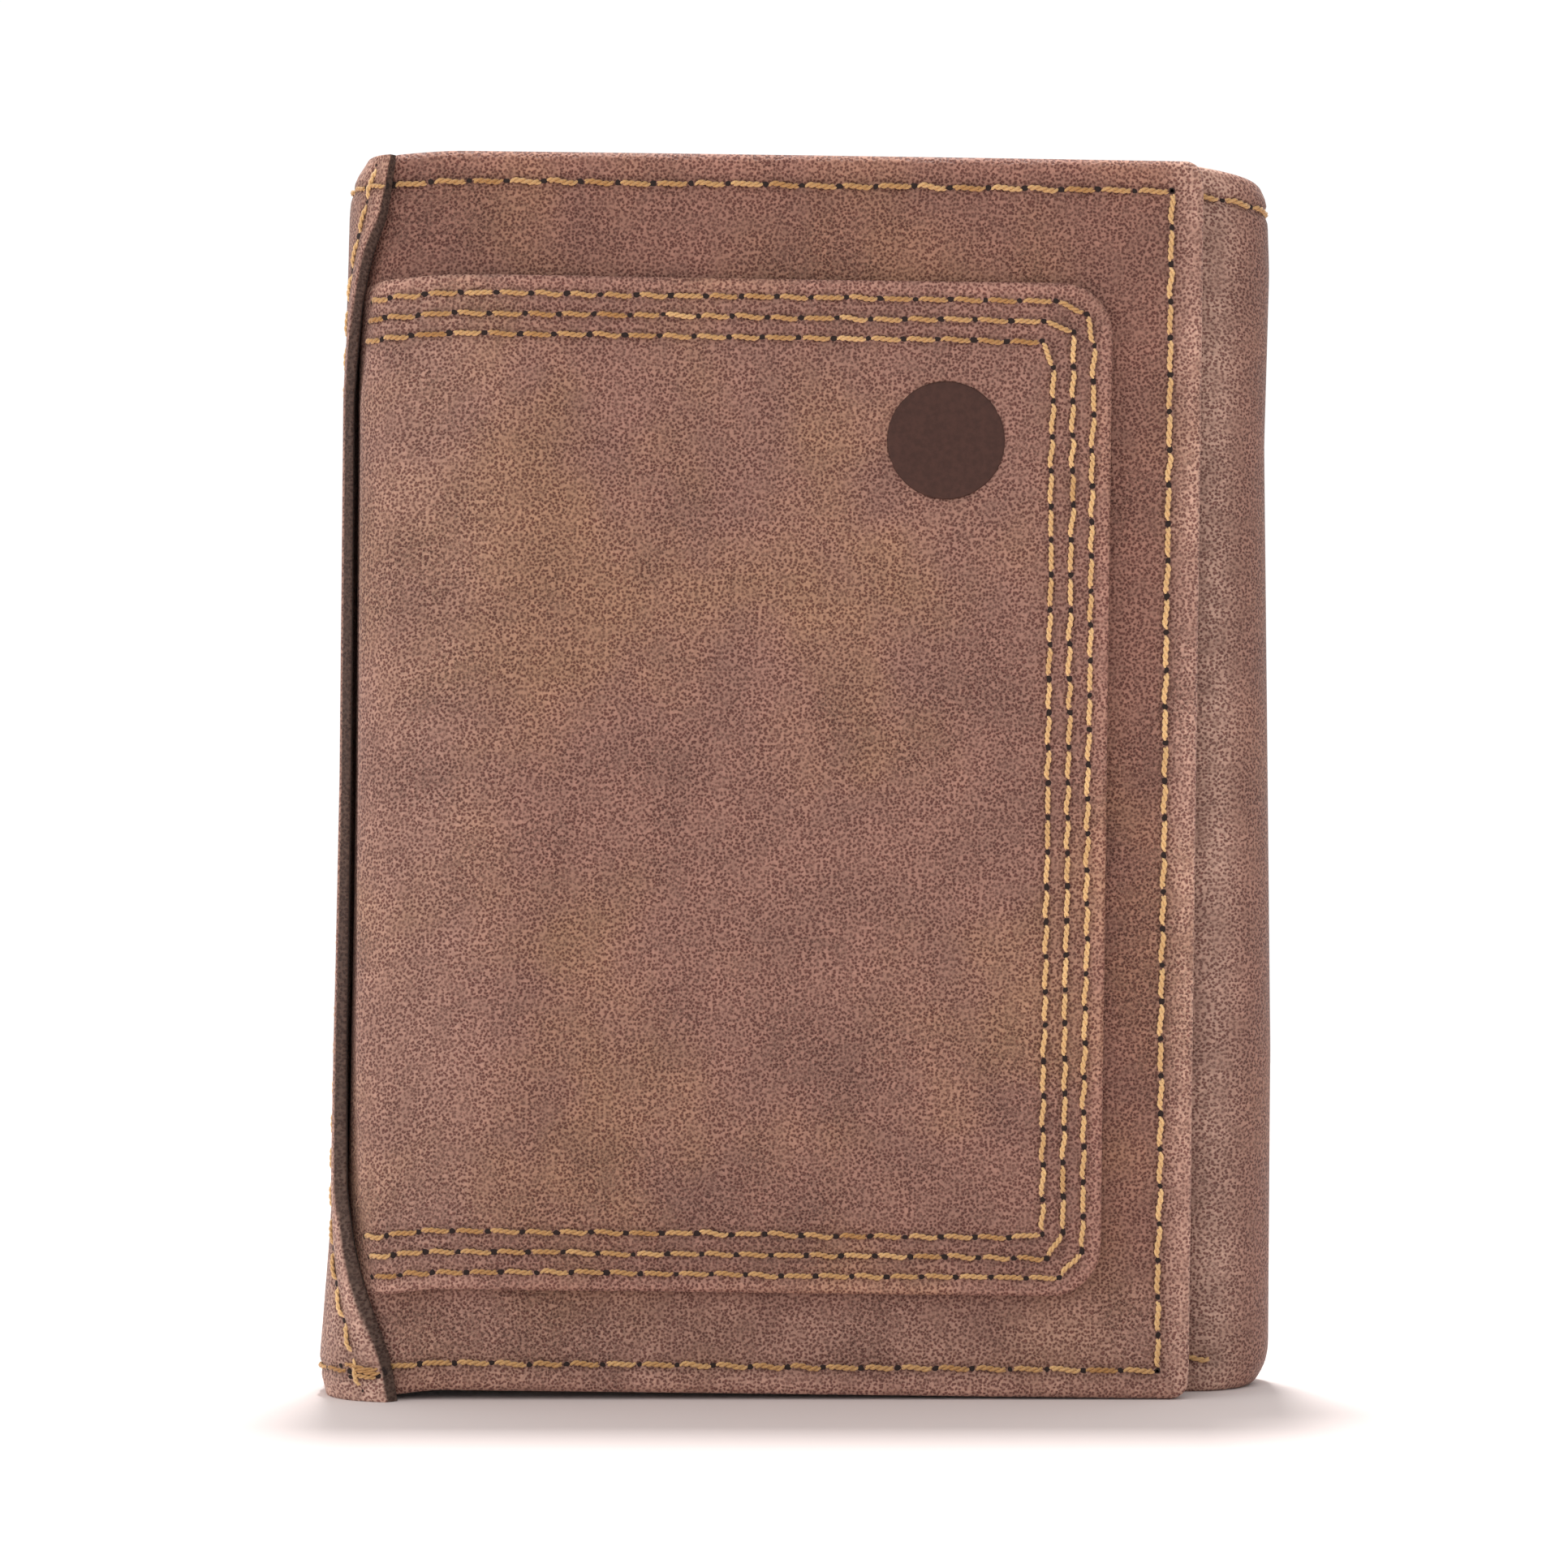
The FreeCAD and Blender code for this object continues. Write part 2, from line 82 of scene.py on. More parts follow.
EMBLEM_LOW, EMBLEM_HIGH = box_mm("emblem_disc")

HEIGHT = PANEL_HIGH[2]
BEND_X = PANEL_LOW[0]
RIGHT_BEND_X = FLAP_HIGH[0]
BACK = WRAP_HIGH[1]
FOLD_RADIUS = BEND_X - WRAP_LOW[0]
BEND_Y = BACK - FOLD_RADIUS
LEATHER = 1.3
POCKET_LEATHER = 1.15
FACING = FACING_HIGH[1] - FACING_LOW[1]
CLOTH = 0.25
LINING_FACE = BACK - LEATHER - CLOTH
# Where the inner face of the inner flap's leather lies, in y
FLAP_INSIDE = -1.7
FILM_THICKNESS = 0.26
# The width of the leather turned in along an edge, its extra depth and the ramp down from it
HEM = 5.8
HEM_DEPTH = 1.05
HEM_RAMP = 0.3
# The least thickness of a sheet, and the gap between two that would otherwise touch
GAP = 0.02
FAR_AWAY = 99.0
# How far from a fold's middle line the leather bends, under the pocket mouth and outside it
INNER_REACH = 4.2
OUTER_REACH = 5.6

# How the wallet really stands: at each height, how far each fold leans sideways, in mm, and where the pocket
# mouth lies, in degrees round the fold
LEFT_LEAN = ((0, -0.2), (2.5, -0.9), (6, -0.6), (16, 0.2), (37, 0.8), (54, 1.2), (84, 1.5), (96, 1.6),
             (103.5, 1.8), (105.5, 2.0), (107, 2.6), (108, 3.6))
RIGHT_LEAN = ((0, -0.5), (1.2, 0.6), (3, 1.1), (30, 1.3), (60, 1.0), (84, 0.75), (100, 1.2), (106.5, 1.0),
              (108, 0.1))
MOUTH = ((0, 91), (4, 84), (9.5, 63), (13.3, 50), (18, 36), (30, 29), (54, 25), (87, 25), (90, 33), (95, 44),
         (99.4, 60), (102.5, 78), (108, 89))
# The front flap's slant and shrinkage for each mm of height, and its rise for each mm towards the fold
FLAP_SKEW = 0.0125
FLAP_TILT = 0.0122
FLAP_SHRINK = 0.35 / HEIGHT

# Stitching: the length of a stitch, and how far from the edges the rows run
EDGE_PITCH = 3.2
OVERLAY_PITCH = 3.0
SIDE_INSET = 2.8
TOP_INSET = 2.7
BOTTOM_INSET = 2.5
OVERLAY_INSETS = (1.6, 3.35, 5.1)
MOUTH_INSET = 2.9
POCKET_INSET = 1.6
CREASE_INSET = 1.4

random = np.random.default_rng(11)


def follow(table, heights):
    """A table of heights and values, followed smoothly."""
    known = np.array(table, float)
    fine = np.linspace(-6, HEIGHT + 6, 481)
    values = np.interp(fine, known[:, 0], known[:, 1])
    reach = 6
    kernel = np.hanning(2 * reach + 1)
    values = np.convolve(np.pad(values, reach, mode="edge"), kernel / kernel.sum(), mode="valid")
    return np.interp(heights, fine, values)


def lie(x, y, z, front):
    """Where a point of the ideal shape really lies, with the folds leaning and the front flap skewed."""
    left = np.clip((BEND_X - x) / FOLD_RADIUS, 0, 1)
    right = np.clip((x - RIGHT_BEND_X) / FOLD_RADIUS, 0, 1)
    across = follow(LEFT_LEAN, z) * left + follow(RIGHT_LEAN, z) * right
    up = -right * smooth(70, HEIGHT, z)
    if front:
        share = smooth(BEND_X - 4, BEND_X + 5, x)
        arch = 0.35 * np.cos(np.clip((x + 20) / 55, -1.5, 1.5)) * smooth(60, HEIGHT, z)
        up = share * (-FLAP_SHRINK * z + FLAP_TILT * (PANEL_HIGH[0] - x) + arch - 0.2 * smooth(60, HEIGHT, z))
        swell = 0.45 * np.exp(-((x + 26) / 8.0) ** 2) + 0.2 * np.sin(x / 9.0 + 1.1) * np.sin(z / 21.0)
        y = y - share * swell * smooth(-2, 12, z) * smooth(HEIGHT + 2, HEIGHT - 12, z)
        across = across + share * FLAP_SKEW * (z - HEIGHT / 2)
    return np.stack(np.broadcast_arrays(x + across, y, z + up), -1)


# ---------------------------------------------------------------- paths, seen from above


def line(ax, ay, bx, by):
    """A straight run from a to b, with the visible side on the right of travel."""
    length = math.hypot(bx - ax, by - ay)
    normal = ((by - ay) / length, -(bx - ax) / length)
    return np.array([[ax, ay, *normal], [bx, by, *normal]])


def arc(cx, cy, radius, first, last):
    """An arc between two angles in degrees, with the visible side on the right of travel."""
    turn = np.radians(np.linspace(first, last, 65))
    out = np.column_stack([np.cos(turn), np.sin(turn)])
    return np.column_stack([np.array([cx, cy]) + radius * out, out * (1.0 if last > first else -1.0)])


class Surface:
    """A sheet's visible face: a path seen from above, with its seams pressed in.

    u runs along the path and v up the wallet. lift raises the whole sheet, and dents only its visible face.
    offset moves the texture, so that two sheets don't look alike."""

    def __init__(self, *runs, seams=(), groove=0.13, front=False, lift=None, dents=None, offset=0.0):
        self.rows = np.vstack(runs)
        steps = np.linalg.norm(np.diff(self.rows[:, :2], axis=0), axis=1)
        self.travel = np.concatenate([[0.0], np.cumsum(steps)])
        self.marks = [0.0] + [self.travel[k - 1] for k in np.cumsum([len(run) for run in runs])]
        self.seams = [np.asarray(seam, float) for seam in seams]
        self.groove, self.front, self.lift, self.dents, self.offset = groove, front, lift, dents, offset

    def length(self):
        return self.marks[-1]

    def normal(self, u):
        nx, ny = (np.interp(u, self.travel, self.rows[:, k]) for k in (2, 3))
        size = np.hypot(nx, ny)
        return nx / size, ny / size

    def seam_distance(self, u, v):
        """How far each point is from the nearest row of stitches."""
        nearest = np.full(np.shape(u), FAR_AWAY)
        for seam in self.seams:
            for (au, av), (bu, bv) in zip(seam[:-1], seam[1:]):
                run = (bu - au) ** 2 + (bv - av) ** 2
                share = np.clip(((u - au) * (bu - au) + (v - av) * (bv - av)) / max(run, 1e-9), 0, 1)
                away = np.hypot(u - au - share * (bu - au), v - av - share * (bv - av))
                nearest = np.minimum(nearest, away)
        return nearest

    def raised(self, u, v):
        return self.lift(u, v) if self.lift else 0.0

    def dented(self, u, v):
        """How deep the visible face is pressed in."""
        depth = self.groove * np.exp(-(self.seam_distance(u, v) / 0.5) ** 2)
        return depth + (self.dents(u, v) if self.dents else 0.0)

    def place(self, u, v, depth):
        """Points a depth below the ideal face, before any dent."""
        x, y = (np.interp(u, self.travel, self.rows[:, k]) for k in (0, 1))
        nx, ny = self.normal(u)
        depth = depth - self.raised(u, v)
        return lie(x - nx * depth, y - ny * depth, v, self.front)


# ---------------------------------------------------------------- meshes


def make_piece(name, points, quads, values, materials, kinds=None, sharp=50):
    """A mesh object from points in mm, with named values at its points."""
    mesh = bpy.data.meshes.new(name)
    mesh.vertices.add(len(points))
    mesh.vertices.foreach_set("co", (np.asarray(points) * MM).astype(np.float32).ravel())
    mesh.loops.add(quads.size)
    mesh.loops.foreach_set("vertex_index", quads.astype(np.int32).ravel())
    mesh.polygons.add(len(quads))
    mesh.polygons.foreach_set("loop_start", np.arange(0, quads.size, 4, dtype=np.int32))
    mesh.polygons.foreach_set("use_smooth", np.ones(len(quads), bool))
    if kinds is not None:
        mesh.polygons.foreach_set("material_index", kinds.astype(np.int32))
    for key, value in values.items():
        value = np.asarray(value, np.float32)
        if value.ndim == 2:
            mesh.attributes.new(key, "FLOAT_VECTOR", "POINT").data.foreach_set("vector", value.ravel())
        else:
            mesh.attributes.new(key, "FLOAT", "POINT").data.foreach_set("value", value)
    mesh.update(calc_edges=True)
    mesh.validate()
    mesh.set_sharp_from_angle(angle=math.radians(sharp))
    for material in materials:
        mesh.materials.append(material)
    piece = bpy.data.objects.new(name, mesh)
    bpy.context.scene.collection.objects.link(piece)
    return piece


def spread(low, high, step, edges=(), seams=()):
    """Positions from low to high, closer together near edges and seams."""
    near_edge = np.array([0, 0.03, 0.1, 0.22, 0.4, 0.62, 0.9, 1.3])
    near_seam = np.array([0.1, 0.28, 0.5, 0.8])
    found = [np.linspace(low, high, max(2, round((high - low) / step) + 1))]
    found += [low + near_edge] if "low" in edges else []
    found += [high - near_edge] if "high" in edges else []
    found += [seam + sign * near_seam for seam in seams for sign in (-1, 1)]
    found = np.unique(np.clip(np.concatenate(found), low, high))
    gap = np.concatenate([[1.0], np.diff(found)]) > 0.02
    gap[-1] = True
    return found[gap]


def rounding(distance, radius):
    """How far a rounded edge falls away, at a distance from that edge."""
    share = 1 - np.clip(distance / radius, 0, 1)
    return radius * (1 - np.sqrt(np.clip(1 - share * share, 0, 1)))


def sheet_piece(name, surface, left, right, low, high, thickness, material,
                real="top bottom left right", corner=0.0, round_out=0.35, round_in=0.3, hem=None, thin=None,
                worn=None, raw=(), raw_width=0.16, step=1.0, u_seams=(), v_seams=(), sharp=50):
    """A sheet of leather or cloth between two edges, with its real edges rounded and the others square.

    left and right are numbers, or give the edge at each height. hem gives the extra thickness, and thin
    the share of it that is left. The wear value says how far the face pales: rubbed wear, and painted
    highlight where a piece asks for it. raw names the edges that show cut leather."""
    left_edge = left if callable(left) else (lambda v: np.full(np.shape(v), float(left)))
    right_edge = right if callable(right) else (lambda v: np.full(np.shape(v), float(right)))
    v_edges = [e for e, side in (("low", "bottom"), ("high", "top")) if side in real]
    v = spread(low, high, step, v_edges, v_seams)
    heights = np.array([low, (low + high) / 2, high])
    width = float(np.max(right_edge(heights) - left_edge(heights)))
    u_edges = [e for e, side in (("low", "left"), ("high", "right")) if side in real]
    from_left = np.asarray(u_seams, float) - left_edge(heights)[1]
    t = spread(0.0, width, step, u_edges, from_left) / width
    first, last = left_edge(v), right_edge(v)
    to_end = np.minimum(v - low if "bottom" in real else FAR_AWAY, high - v if "top" in real else FAR_AWAY)
    inset = rounding(to_end, corner) if corner > 0 else 0 * v
    start = first + (inset if "left" in real else 0)
    stop = last - (inset if "right" in real else 0)
    u = start[None, :] + t[:, None] * (stop - start)[None, :]
    v = np.broadcast_to(v[None, :], u.shape)

    far = 80.0
    lows = (first - (0 if "left" in real else far), low - (0 if "bottom" in real else far))
    highs = (last + (0 if "right" in real else far), high + (0 if "top" in real else far))
    over = [np.abs(p - (b + a) / 2) - (b - a) / 2 + corner for p, a, b in zip((u, v), lows, highs)]
    outside = np.hypot(np.maximum(over[0], 0), np.maximum(over[1], 0))
    rim = np.maximum(corner - outside - np.minimum(np.maximum(*over), 0), 0)

    deep = thickness + (hem(u, v) if hem else 0.0)
    if thin:
        deep = deep * thin(u, v)
    outer = rounding(rim, round_out) + surface.dented(u, v)
    inner = np.maximum(deep - rounding(rim, round_in), outer + GAP)
    points = np.concatenate([surface.place(u, v, depth).reshape(-1, 3) for depth in (outer, inner)])

    columns, rows = u.shape
    index = np.arange(columns * rows).reshape(columns, rows)
    face = np.stack([index[:-1, :-1], index[1:, :-1], index[1:, 1:], index[:-1, 1:]], -1).reshape(-1, 4)
    loop = np.concatenate([index[:-1, 0], index[-1, :-1], index[:0:-1, -1], index[0, :0:-1]])
    following = np.roll(loop, -1)
    lower = columns * rows
    edge = np.stack([following, loop, loop + lower, following + lower], -1)
    quads = np.concatenate([face, face[:, ::-1] + lower, edge])

    raw_side = np.zeros(u.shape)
    for side, distance in (("left", u - first), ("right", last - u), ("top", high - v), ("bottom", v - low)):
        if side in raw:
            raw_side = np.maximum(raw_side, smooth(raw_width, raw_width - 0.14, distance))
    seam = surface.seam_distance(u, v)
    flat = np.stack([u + surface.offset, v, 0 * u], -1).reshape(-1, 3)
    out_u = smooth(6, 0, last - u) - smooth(6, 0, u - first)
    out_v = smooth(6, 0, high - v) - smooth(6, 0, v - low)
    flat_in = flat + np.stack([inner * out_u, inner * out_v, 0 * u], -1).reshape(-1, 3)
    values = {
        "flat": np.concatenate([flat, flat_in]),
        "rim": np.tile(rim.ravel(), 2),
        "seam": np.concatenate([seam.ravel(), np.full(u.size, FAR_AWAY)]),
        "worn": np.tile((worn(u, v) if worn else 0 * u).ravel(), 2),
        "cut": np.concatenate([raw_side.ravel() * 0.85, smooth(0.5, 0.1, rim).ravel() * (len(raw) > 0)]),
    }
    return make_piece(name, points, quads, values, [material], sharp=sharp)


def tubes(rings):
    """Vertices and quads of closed tubes. rings has the shape (tubes, rings, an even number of sides, 3)."""
    count, along, sides, _ = rings.shape
    ring = np.arange(sides)
    following = (ring + 1) % sides
    step = np.arange(along - 1)[:, None] * sides
    wall = np.stack([step + ring, step + following, step + sides + following, step + sides + ring], -1)
    cap = np.array([[0, k, k + 1, k + 2] for k in range(1, sides - 2, 2)])
    one = np.concatenate([wall.reshape(-1, 4), cap[:, ::-1], cap + (along - 1) * sides])
    start = np.arange(count) * along * sides
    return rings.reshape(-1, 3), (one[None] + start[:, None, None]).reshape(-1, 4)


def unit(vectors):
    return vectors / np.maximum(np.linalg.norm(vectors, axis=-1, keepdims=True), 1e-12)


def spaced(points, pitch):
    """Needle points a stitch apart along a line of (u, v) points."""
    points = np.asarray(points, float)
    travel = np.concatenate([[0.0], np.cumsum(np.linalg.norm(np.diff(points, axis=0), axis=1))])
    at = np.linspace(0, travel[-1], max(1, round(travel[-1] / pitch)) + 1)
    return np.column_stack([np.interp(at, travel, points[:, k]) for k in (0, 1)])


def stitch_piece(name, surface, rows, pitch, strand=0.148, peak=0.2, hole=0.29):
    """Rows of twisted two-ply stitches on a surface, each diving into a needle hole at both ends. Each hole
    is a dark disc: painted shade for the hole.
    """
    starts, ends, needles = [], [], []
    for row in rows:
        points = spaced(row, pitch)
        points[1:-1] += random.normal(0, 0.05, points[1:-1].shape)
        starts.append(points[:-1])
        ends.append(points[1:])
        needles.append(points)
    a, b, needles = np.vstack(starts), np.vstack(ends), np.vstack(needles)
    run = b - a
    length = np.linalg.norm(run, axis=1)[:, None]
    along = run / length
    side = np.column_stack([-along[:, 1], along[:, 0]])
    count, steps, sides = len(a), 15, 6
    s = np.linspace(0, 1, steps)
    bow = np.abs(2 * s - 1)
    reach = 0.2 + (length - 0.4) * s
    sway = (0.07 + random.normal(0, 0.03, (count, 1))) * np.sin(2 * np.pi * s) + 0.05 * np.sin(np.pi * s)
    uv = a[:, None] + along[:, None] * reach[..., None] + side[:, None] * sway[..., None]
    u, v = uv[..., 0], uv[..., 1]
    rise = peak * (1 - bow ** 3) - 0.45 * bow ** 6 + random.normal(0, 0.012, (count, 1))
    centre = surface.place(u, v, surface.dented(u, v) - rise)
    nx, ny = surface.normal(u)
    outward = np.stack([nx, ny, 0 * nx], -1)
    forward = unit(np.gradient(centre, axis=1))
    across = unit(np.cross(forward, outward))
    turn = 2 * np.pi * (2.3 * s + random.random((count, 1)))
    strands = []
    for half in (0, np.pi):
        wind = (turn + half)[..., None]
        lifted = 0.85 * np.sin(wind) * np.cross(across, forward)
        middle = centre + strand * 0.92 * (np.cos(wind) * across + lifted)
        heading = unit(np.gradient(middle, axis=1))
        first = unit(outward - (outward * heading).sum(-1, keepdims=True) * heading)
        second = np.cross(heading, first)
        ring = (np.arange(sides) * 2 * np.pi / sides)[:, None]
        size = strand * (1 - 0.25 * bow ** 8)[None, :, None, None]
        section = np.cos(ring) * first[:, :, None] + np.sin(ring) * second[:, :, None]
        strands.append(middle[:, :, None] + size * section)
    thread_points, thread_quads = tubes(np.concatenate(strands))
    # Stitches running up the wallet are lighter than level ones, and each stitch is lighter towards its ends:
    # painted highlight. The random spread is the thread's own tone.
    tone = 0.25 + 0.5 * np.abs(along[:, 1]) + random.normal(0, 0.13, count)
    tones = np.tile(np.repeat((tone[:, None] + 0.55 * bow ** 4).ravel(), sides), 2)

    # Dark discs at the needle points: painted shade in the needle holes.
    u, v = needles[:, 0], needles[:, 1]
    nx, ny = surface.normal(u)
    outward = np.stack([nx, ny, 0 * nx], -1)
    level = np.array([0, 0, 1.0])
    beside = np.cross(level, outward)
    around = np.arange(8) * np.pi / 4
    size = hole * random.uniform(0.85, 1.15, len(u))
    uneven = 1 + random.uniform(-0.28, 0.28, (len(u), 8))
    rings = []
    for share, height in ((0.5, 0.06), (1.0, 0.0), (0.95, -0.025), (0.55, -0.045)):
        centre = surface.place(u, v, surface.dented(u, v) + height)
        reach = ((size * share)[:, None] * uneven)[..., None]
        spin = np.cos(around)[None, :, None] * beside[:, None] - np.sin(around)[None, :, None] * level
        rings.append(centre[:, None] + reach * spin)
    hole_points, hole_quads = tubes(np.stack(rings, 1)[:, ::-1][:, :, ::-1])
    points = np.concatenate([thread_points, hole_points])
    quads = np.concatenate([thread_quads, hole_quads + len(thread_points)])
    kinds = np.concatenate([np.zeros(len(thread_quads)), np.ones(len(hole_quads))])
    values = {"tone": np.concatenate([tones, np.zeros(len(hole_points))])}
    return make_piece(name, points, quads, values, [THREAD, NEEDLE_HOLE_SHADE], kinds, sharp=75)


def round_corner(centre_u, centre_v, radius, first, last):
    """Points on a quarter circle, for a row of stitches that turns."""
    turn = np.radians(np.linspace(first, last, 9))
    return list(zip(centre_u + radius * np.cos(turn), centre_v + radius * np.sin(turn)))


# ---------------------------------------------------------------- materials


def rgb(red, green, blue):
    """A colour in 0 to 255 screen values, as linear light."""
    screen = np.array([red, green, blue]) / 255.0
    return (*np.where(screen <= 0.04045, screen / 12.92, ((screen + 0.055) / 1.055) ** 2.4), 1.0)


class Graph:
    """The nodes of one material."""

    def __init__(self, name, **uniform):
        self.material = bpy.data.materials.new(name)
        self.material.use_nodes = True
        self.tree = self.material.node_tree
        self.shader = self.tree.nodes["Principled BSDF"]
        for key, value in uniform.items():
            self.put(self.shader.inputs[key.replace("_", " ")], value)

    def put(self, socket, value):
        if isinstance(value, bpy.types.NodeSocket):
            self.tree.links.new(value, socket)
        else:
            socket.default_value = value

    def add(self, kind, output=0, inputs=None, **settings):
        node = self.tree.nodes.new(kind)
        for key, value in settings.items():
            setattr(node, key, value)
        for key, value in (inputs or {}).items():
            self.put(node.inputs[key], value)
        return node.outputs[output]

    def attribute(self, name, output="Fac"):
        return self.add("ShaderNodeAttribute", output, attribute_name=name)

    def times(self, *values):
        product = values[0]
        for value in values[1:]:
            product = self.add("ShaderNodeMath", inputs={0: product, 1: value}, operation="MULTIPLY")
        return product

    def plus(self, a, b):
        return self.add("ShaderNodeMath", inputs={0: a, 1: b}, operation="ADD")

    def ramp(self, value, low, high, first=0.0, last=1.0):
        inputs = {"Value": value, "From Min": low, "From Max": high, "To Min": first, "To Max": last}
        return self.add("ShaderNodeMapRange", inputs=inputs, interpolation_type="SMOOTHSTEP")

    def noise(self, at, scale, detail=3.0, roughness=0.55, flat="2D"):
        inputs = {"Vector": at, "Scale": scale, "Detail": detail, "Roughness": roughness}
        return self.add("ShaderNodeTexNoise", 0, inputs, noise_dimensions=flat)

    def cells(self, at, scale, feature="F1"):
        inputs = {"Vector": at, "Scale": scale}
        return self.add("ShaderNodeTexVoronoi", "Distance", inputs, feature=feature, voronoi_dimensions="2D")

    def shift(self, at, vector):
        return self.add("ShaderNodeVectorMath", inputs={0: at, 1: vector}, operation="ADD")

    def mix(self, share, a, b):
        return self.add("ShaderNodeMix", 2, {0: share, 6: a, 7: b}, data_type="RGBA")

    def scaled(self, colour, by):
        plain = colour if isinstance(colour, bpy.types.NodeSocket) else colour[:3]
        return self.add("ShaderNodeVectorMath", inputs={0: plain, "Scale": by}, operation="SCALE")

    def tinted(self, colour, by):
        return self.add("ShaderNodeVectorMath", inputs={0: colour, 1: by}, operation="MULTIPLY")

    def finish(self, colour, roughness, height, distance):
        self.put(self.shader.inputs["Base Color"], colour)
        self.put(self.shader.inputs["Roughness"], roughness)
        inputs = {"Strength": 1.0, "Distance": distance * MM, "Height": height}
        bump = self.add("ShaderNodeBump", inputs=inputs)
        self.put(self.shader.inputs["Normal"], bump)
        return self.material


def leather_material(name, mauve, ochre, seed, cracked=0.35, pale=(176, 141, 126), edge=(40, 31, 26)):
    """Waxed pull-up leather: cloudy colour, fine pits and wrinkled patches. It is darker along its seams,
    painted shade in the stitch dents, lighter on rounded edges, painted highlight that is partly rubbed wear,
    and paler where the wear value asks for rubbed wear and painted highlight.
    """
    g = Graph(name, Specular_IOR_Level=0.2, Sheen_Weight=0.05, Sheen_Roughness=0.45)
    flat = g.attribute("flat", "Vector")
    at = g.shift(flat, (seed * 31.7, seed * 17.3, seed))
    clouds = g.noise(at, 0.042, 3.0, 0.6)
    patches = g.noise(at, 0.15, 4.0, 0.62)
    blotches = g.noise(at, 0.55, 3.0, 0.6)
    fine = g.noise(at, 3.2, 2.0, 0.6)
    inputs = {"Vector": at, "Scale": 2.6, "Detail": 1.0}
    wobble = g.add("ShaderNodeTexNoise", "Color", inputs, noise_dimensions="2D")
    bent = g.shift(at, g.scaled(wobble, 0.24))
    pits = g.ramp(g.cells(bent, 3.4), 0.16, 0.58)
    faint = g.ramp(blotches, 0.25, 0.6, 0.6, 1.0)
    pits = g.plus(1.0, g.times(g.plus(pits, -1.0), faint))
    warped = g.shift(at, wobble)
    lines = g.ramp(g.cells(warped, 1.6, "DISTANCE_TO_EDGE"), 0.0, 0.13)
    where = g.times(g.ramp(g.noise(at, 0.07, 2.0), 0.5, 0.66), cracked)
    wrinkles = g.plus(1.0, g.times(g.plus(lines, -1.0), where))
    seam = g.attribute("seam")
    rim = g.attribute("rim")
    # Painted shade along the stitch rows, and painted highlight on the rounded edges, partly rubbed wear.
    shade = g.times(
        g.ramp(patches, 0.3, 0.7, 0.92, 1.08),
        g.ramp(blotches, 0.3, 0.7, 0.94, 1.06),
        g.ramp(fine, 0.3, 0.7, 0.86, 1.12),
        wrinkles,
        g.ramp(seam, 0.1, 0.9, 0.82, 1.0),
        g.ramp(rim, 0.3, 2.8, 1.3, 1.0),
    )
    tint = g.mix(g.ramp(clouds, 0.42, 0.74), rgb(*mauve), rgb(*ochre))
    # Paler where the wear value is set: rubbed wear, and painted highlight.
    rubbed_and_lit = g.times(g.attribute("worn"), g.ramp(g.plus(patches, blotches), 0.75, 1.25, 0.6, 1.0))
    colour = g.scaled(g.mix(rubbed_and_lit, tint, rgb(*pale)), shade)
    colour = g.mix(pits, g.tinted(colour, (0.43, 0.31, 0.32)), g.tinted(colour, (1.27, 1.36, 1.36)))
    fibres = g.ramp(g.noise(at, 7.0, 3.0, 0.7), 0.35, 0.75, 0.75, 1.5)
    colour = g.mix(g.attribute("cut"), colour, g.scaled(rgb(*edge), fibres))
    roughness = g.ramp(g.plus(patches, g.times(pits, 0.1)), 0.3, 0.8, 0.5, 0.64)
    height = g.plus(g.plus(g.times(pits, 0.75), g.times(wrinkles, 0.8)), g.times(fine, 0.5))
    return g.finish(colour, roughness, height, 0.08)


def cloth_material(name, colour):
    """A fine twill."""
    g = Graph(name, Specular_IOR_Level=0.25, Sheen_Weight=0.3)
    flat = g.attribute("flat", "Vector")
    slanted = g.add("ShaderNodeMapping", inputs={"Vector": flat, "Rotation": (0, 0, math.radians(63))})
    inputs = {"Vector": slanted, "Scale": 0.8, "Distortion": 0.4}
    ribs = g.add("ShaderNodeTexWave", "Fac", inputs, wave_type="BANDS")
    inputs = {"Vector": flat, "Scale": 1.3, "Distortion": 0.6}
    yarns = g.add("ShaderNodeTexWave", "Fac", inputs, wave_type="BANDS")
    weave = g.plus(g.times(ribs, 0.7), g.times(yarns, 0.3))
    clouds = g.ramp(g.noise(flat, 0.2), 0.3, 0.7, 0.85, 1.15)
    shade = g.times(g.ramp(weave, 0.1, 0.9, 0.6, 1.2), clouds)
    return g.finish(g.scaled(rgb(*colour), shade), 0.85, weave, 0.08)


def thread_material():
    """Waxed polyester thread, from amber to pale tan; the pale end also carries painted highlight."""
    g = Graph("thread", Specular_IOR_Level=0.4, Sheen_Weight=0.25)
    at = g.add("ShaderNodeTexCoord", "Object")
    fibres = g.noise(at, 9000.0, 2.0, 0.6, "3D")
    colour = g.mix(g.attribute("tone"), (0.38, 0.18, 0.05, 1), (0.80, 0.51, 0.23, 1))
    colour = g.scaled(colour, g.ramp(fibres, 0.3, 0.7, 0.8, 1.15))
    return g.finish(colour, g.ramp(fibres, 0.3, 0.7, 0.45, 0.6), fibres, 0.02)


def plain_material(name, colour, roughness, grain, distance, **uniform):
    """One colour with a faint speckle."""
    g = Graph(name, **uniform)
    at = g.add("ShaderNodeTexCoord", "Object")
    speckle = g.noise(at, grain, 3.0, 0.6, "3D")
    shade = g.ramp(speckle, 0.3, 0.7, 0.85, 1.15)
    return g.finish(g.scaled(rgb(*colour), shade), roughness, speckle, distance)


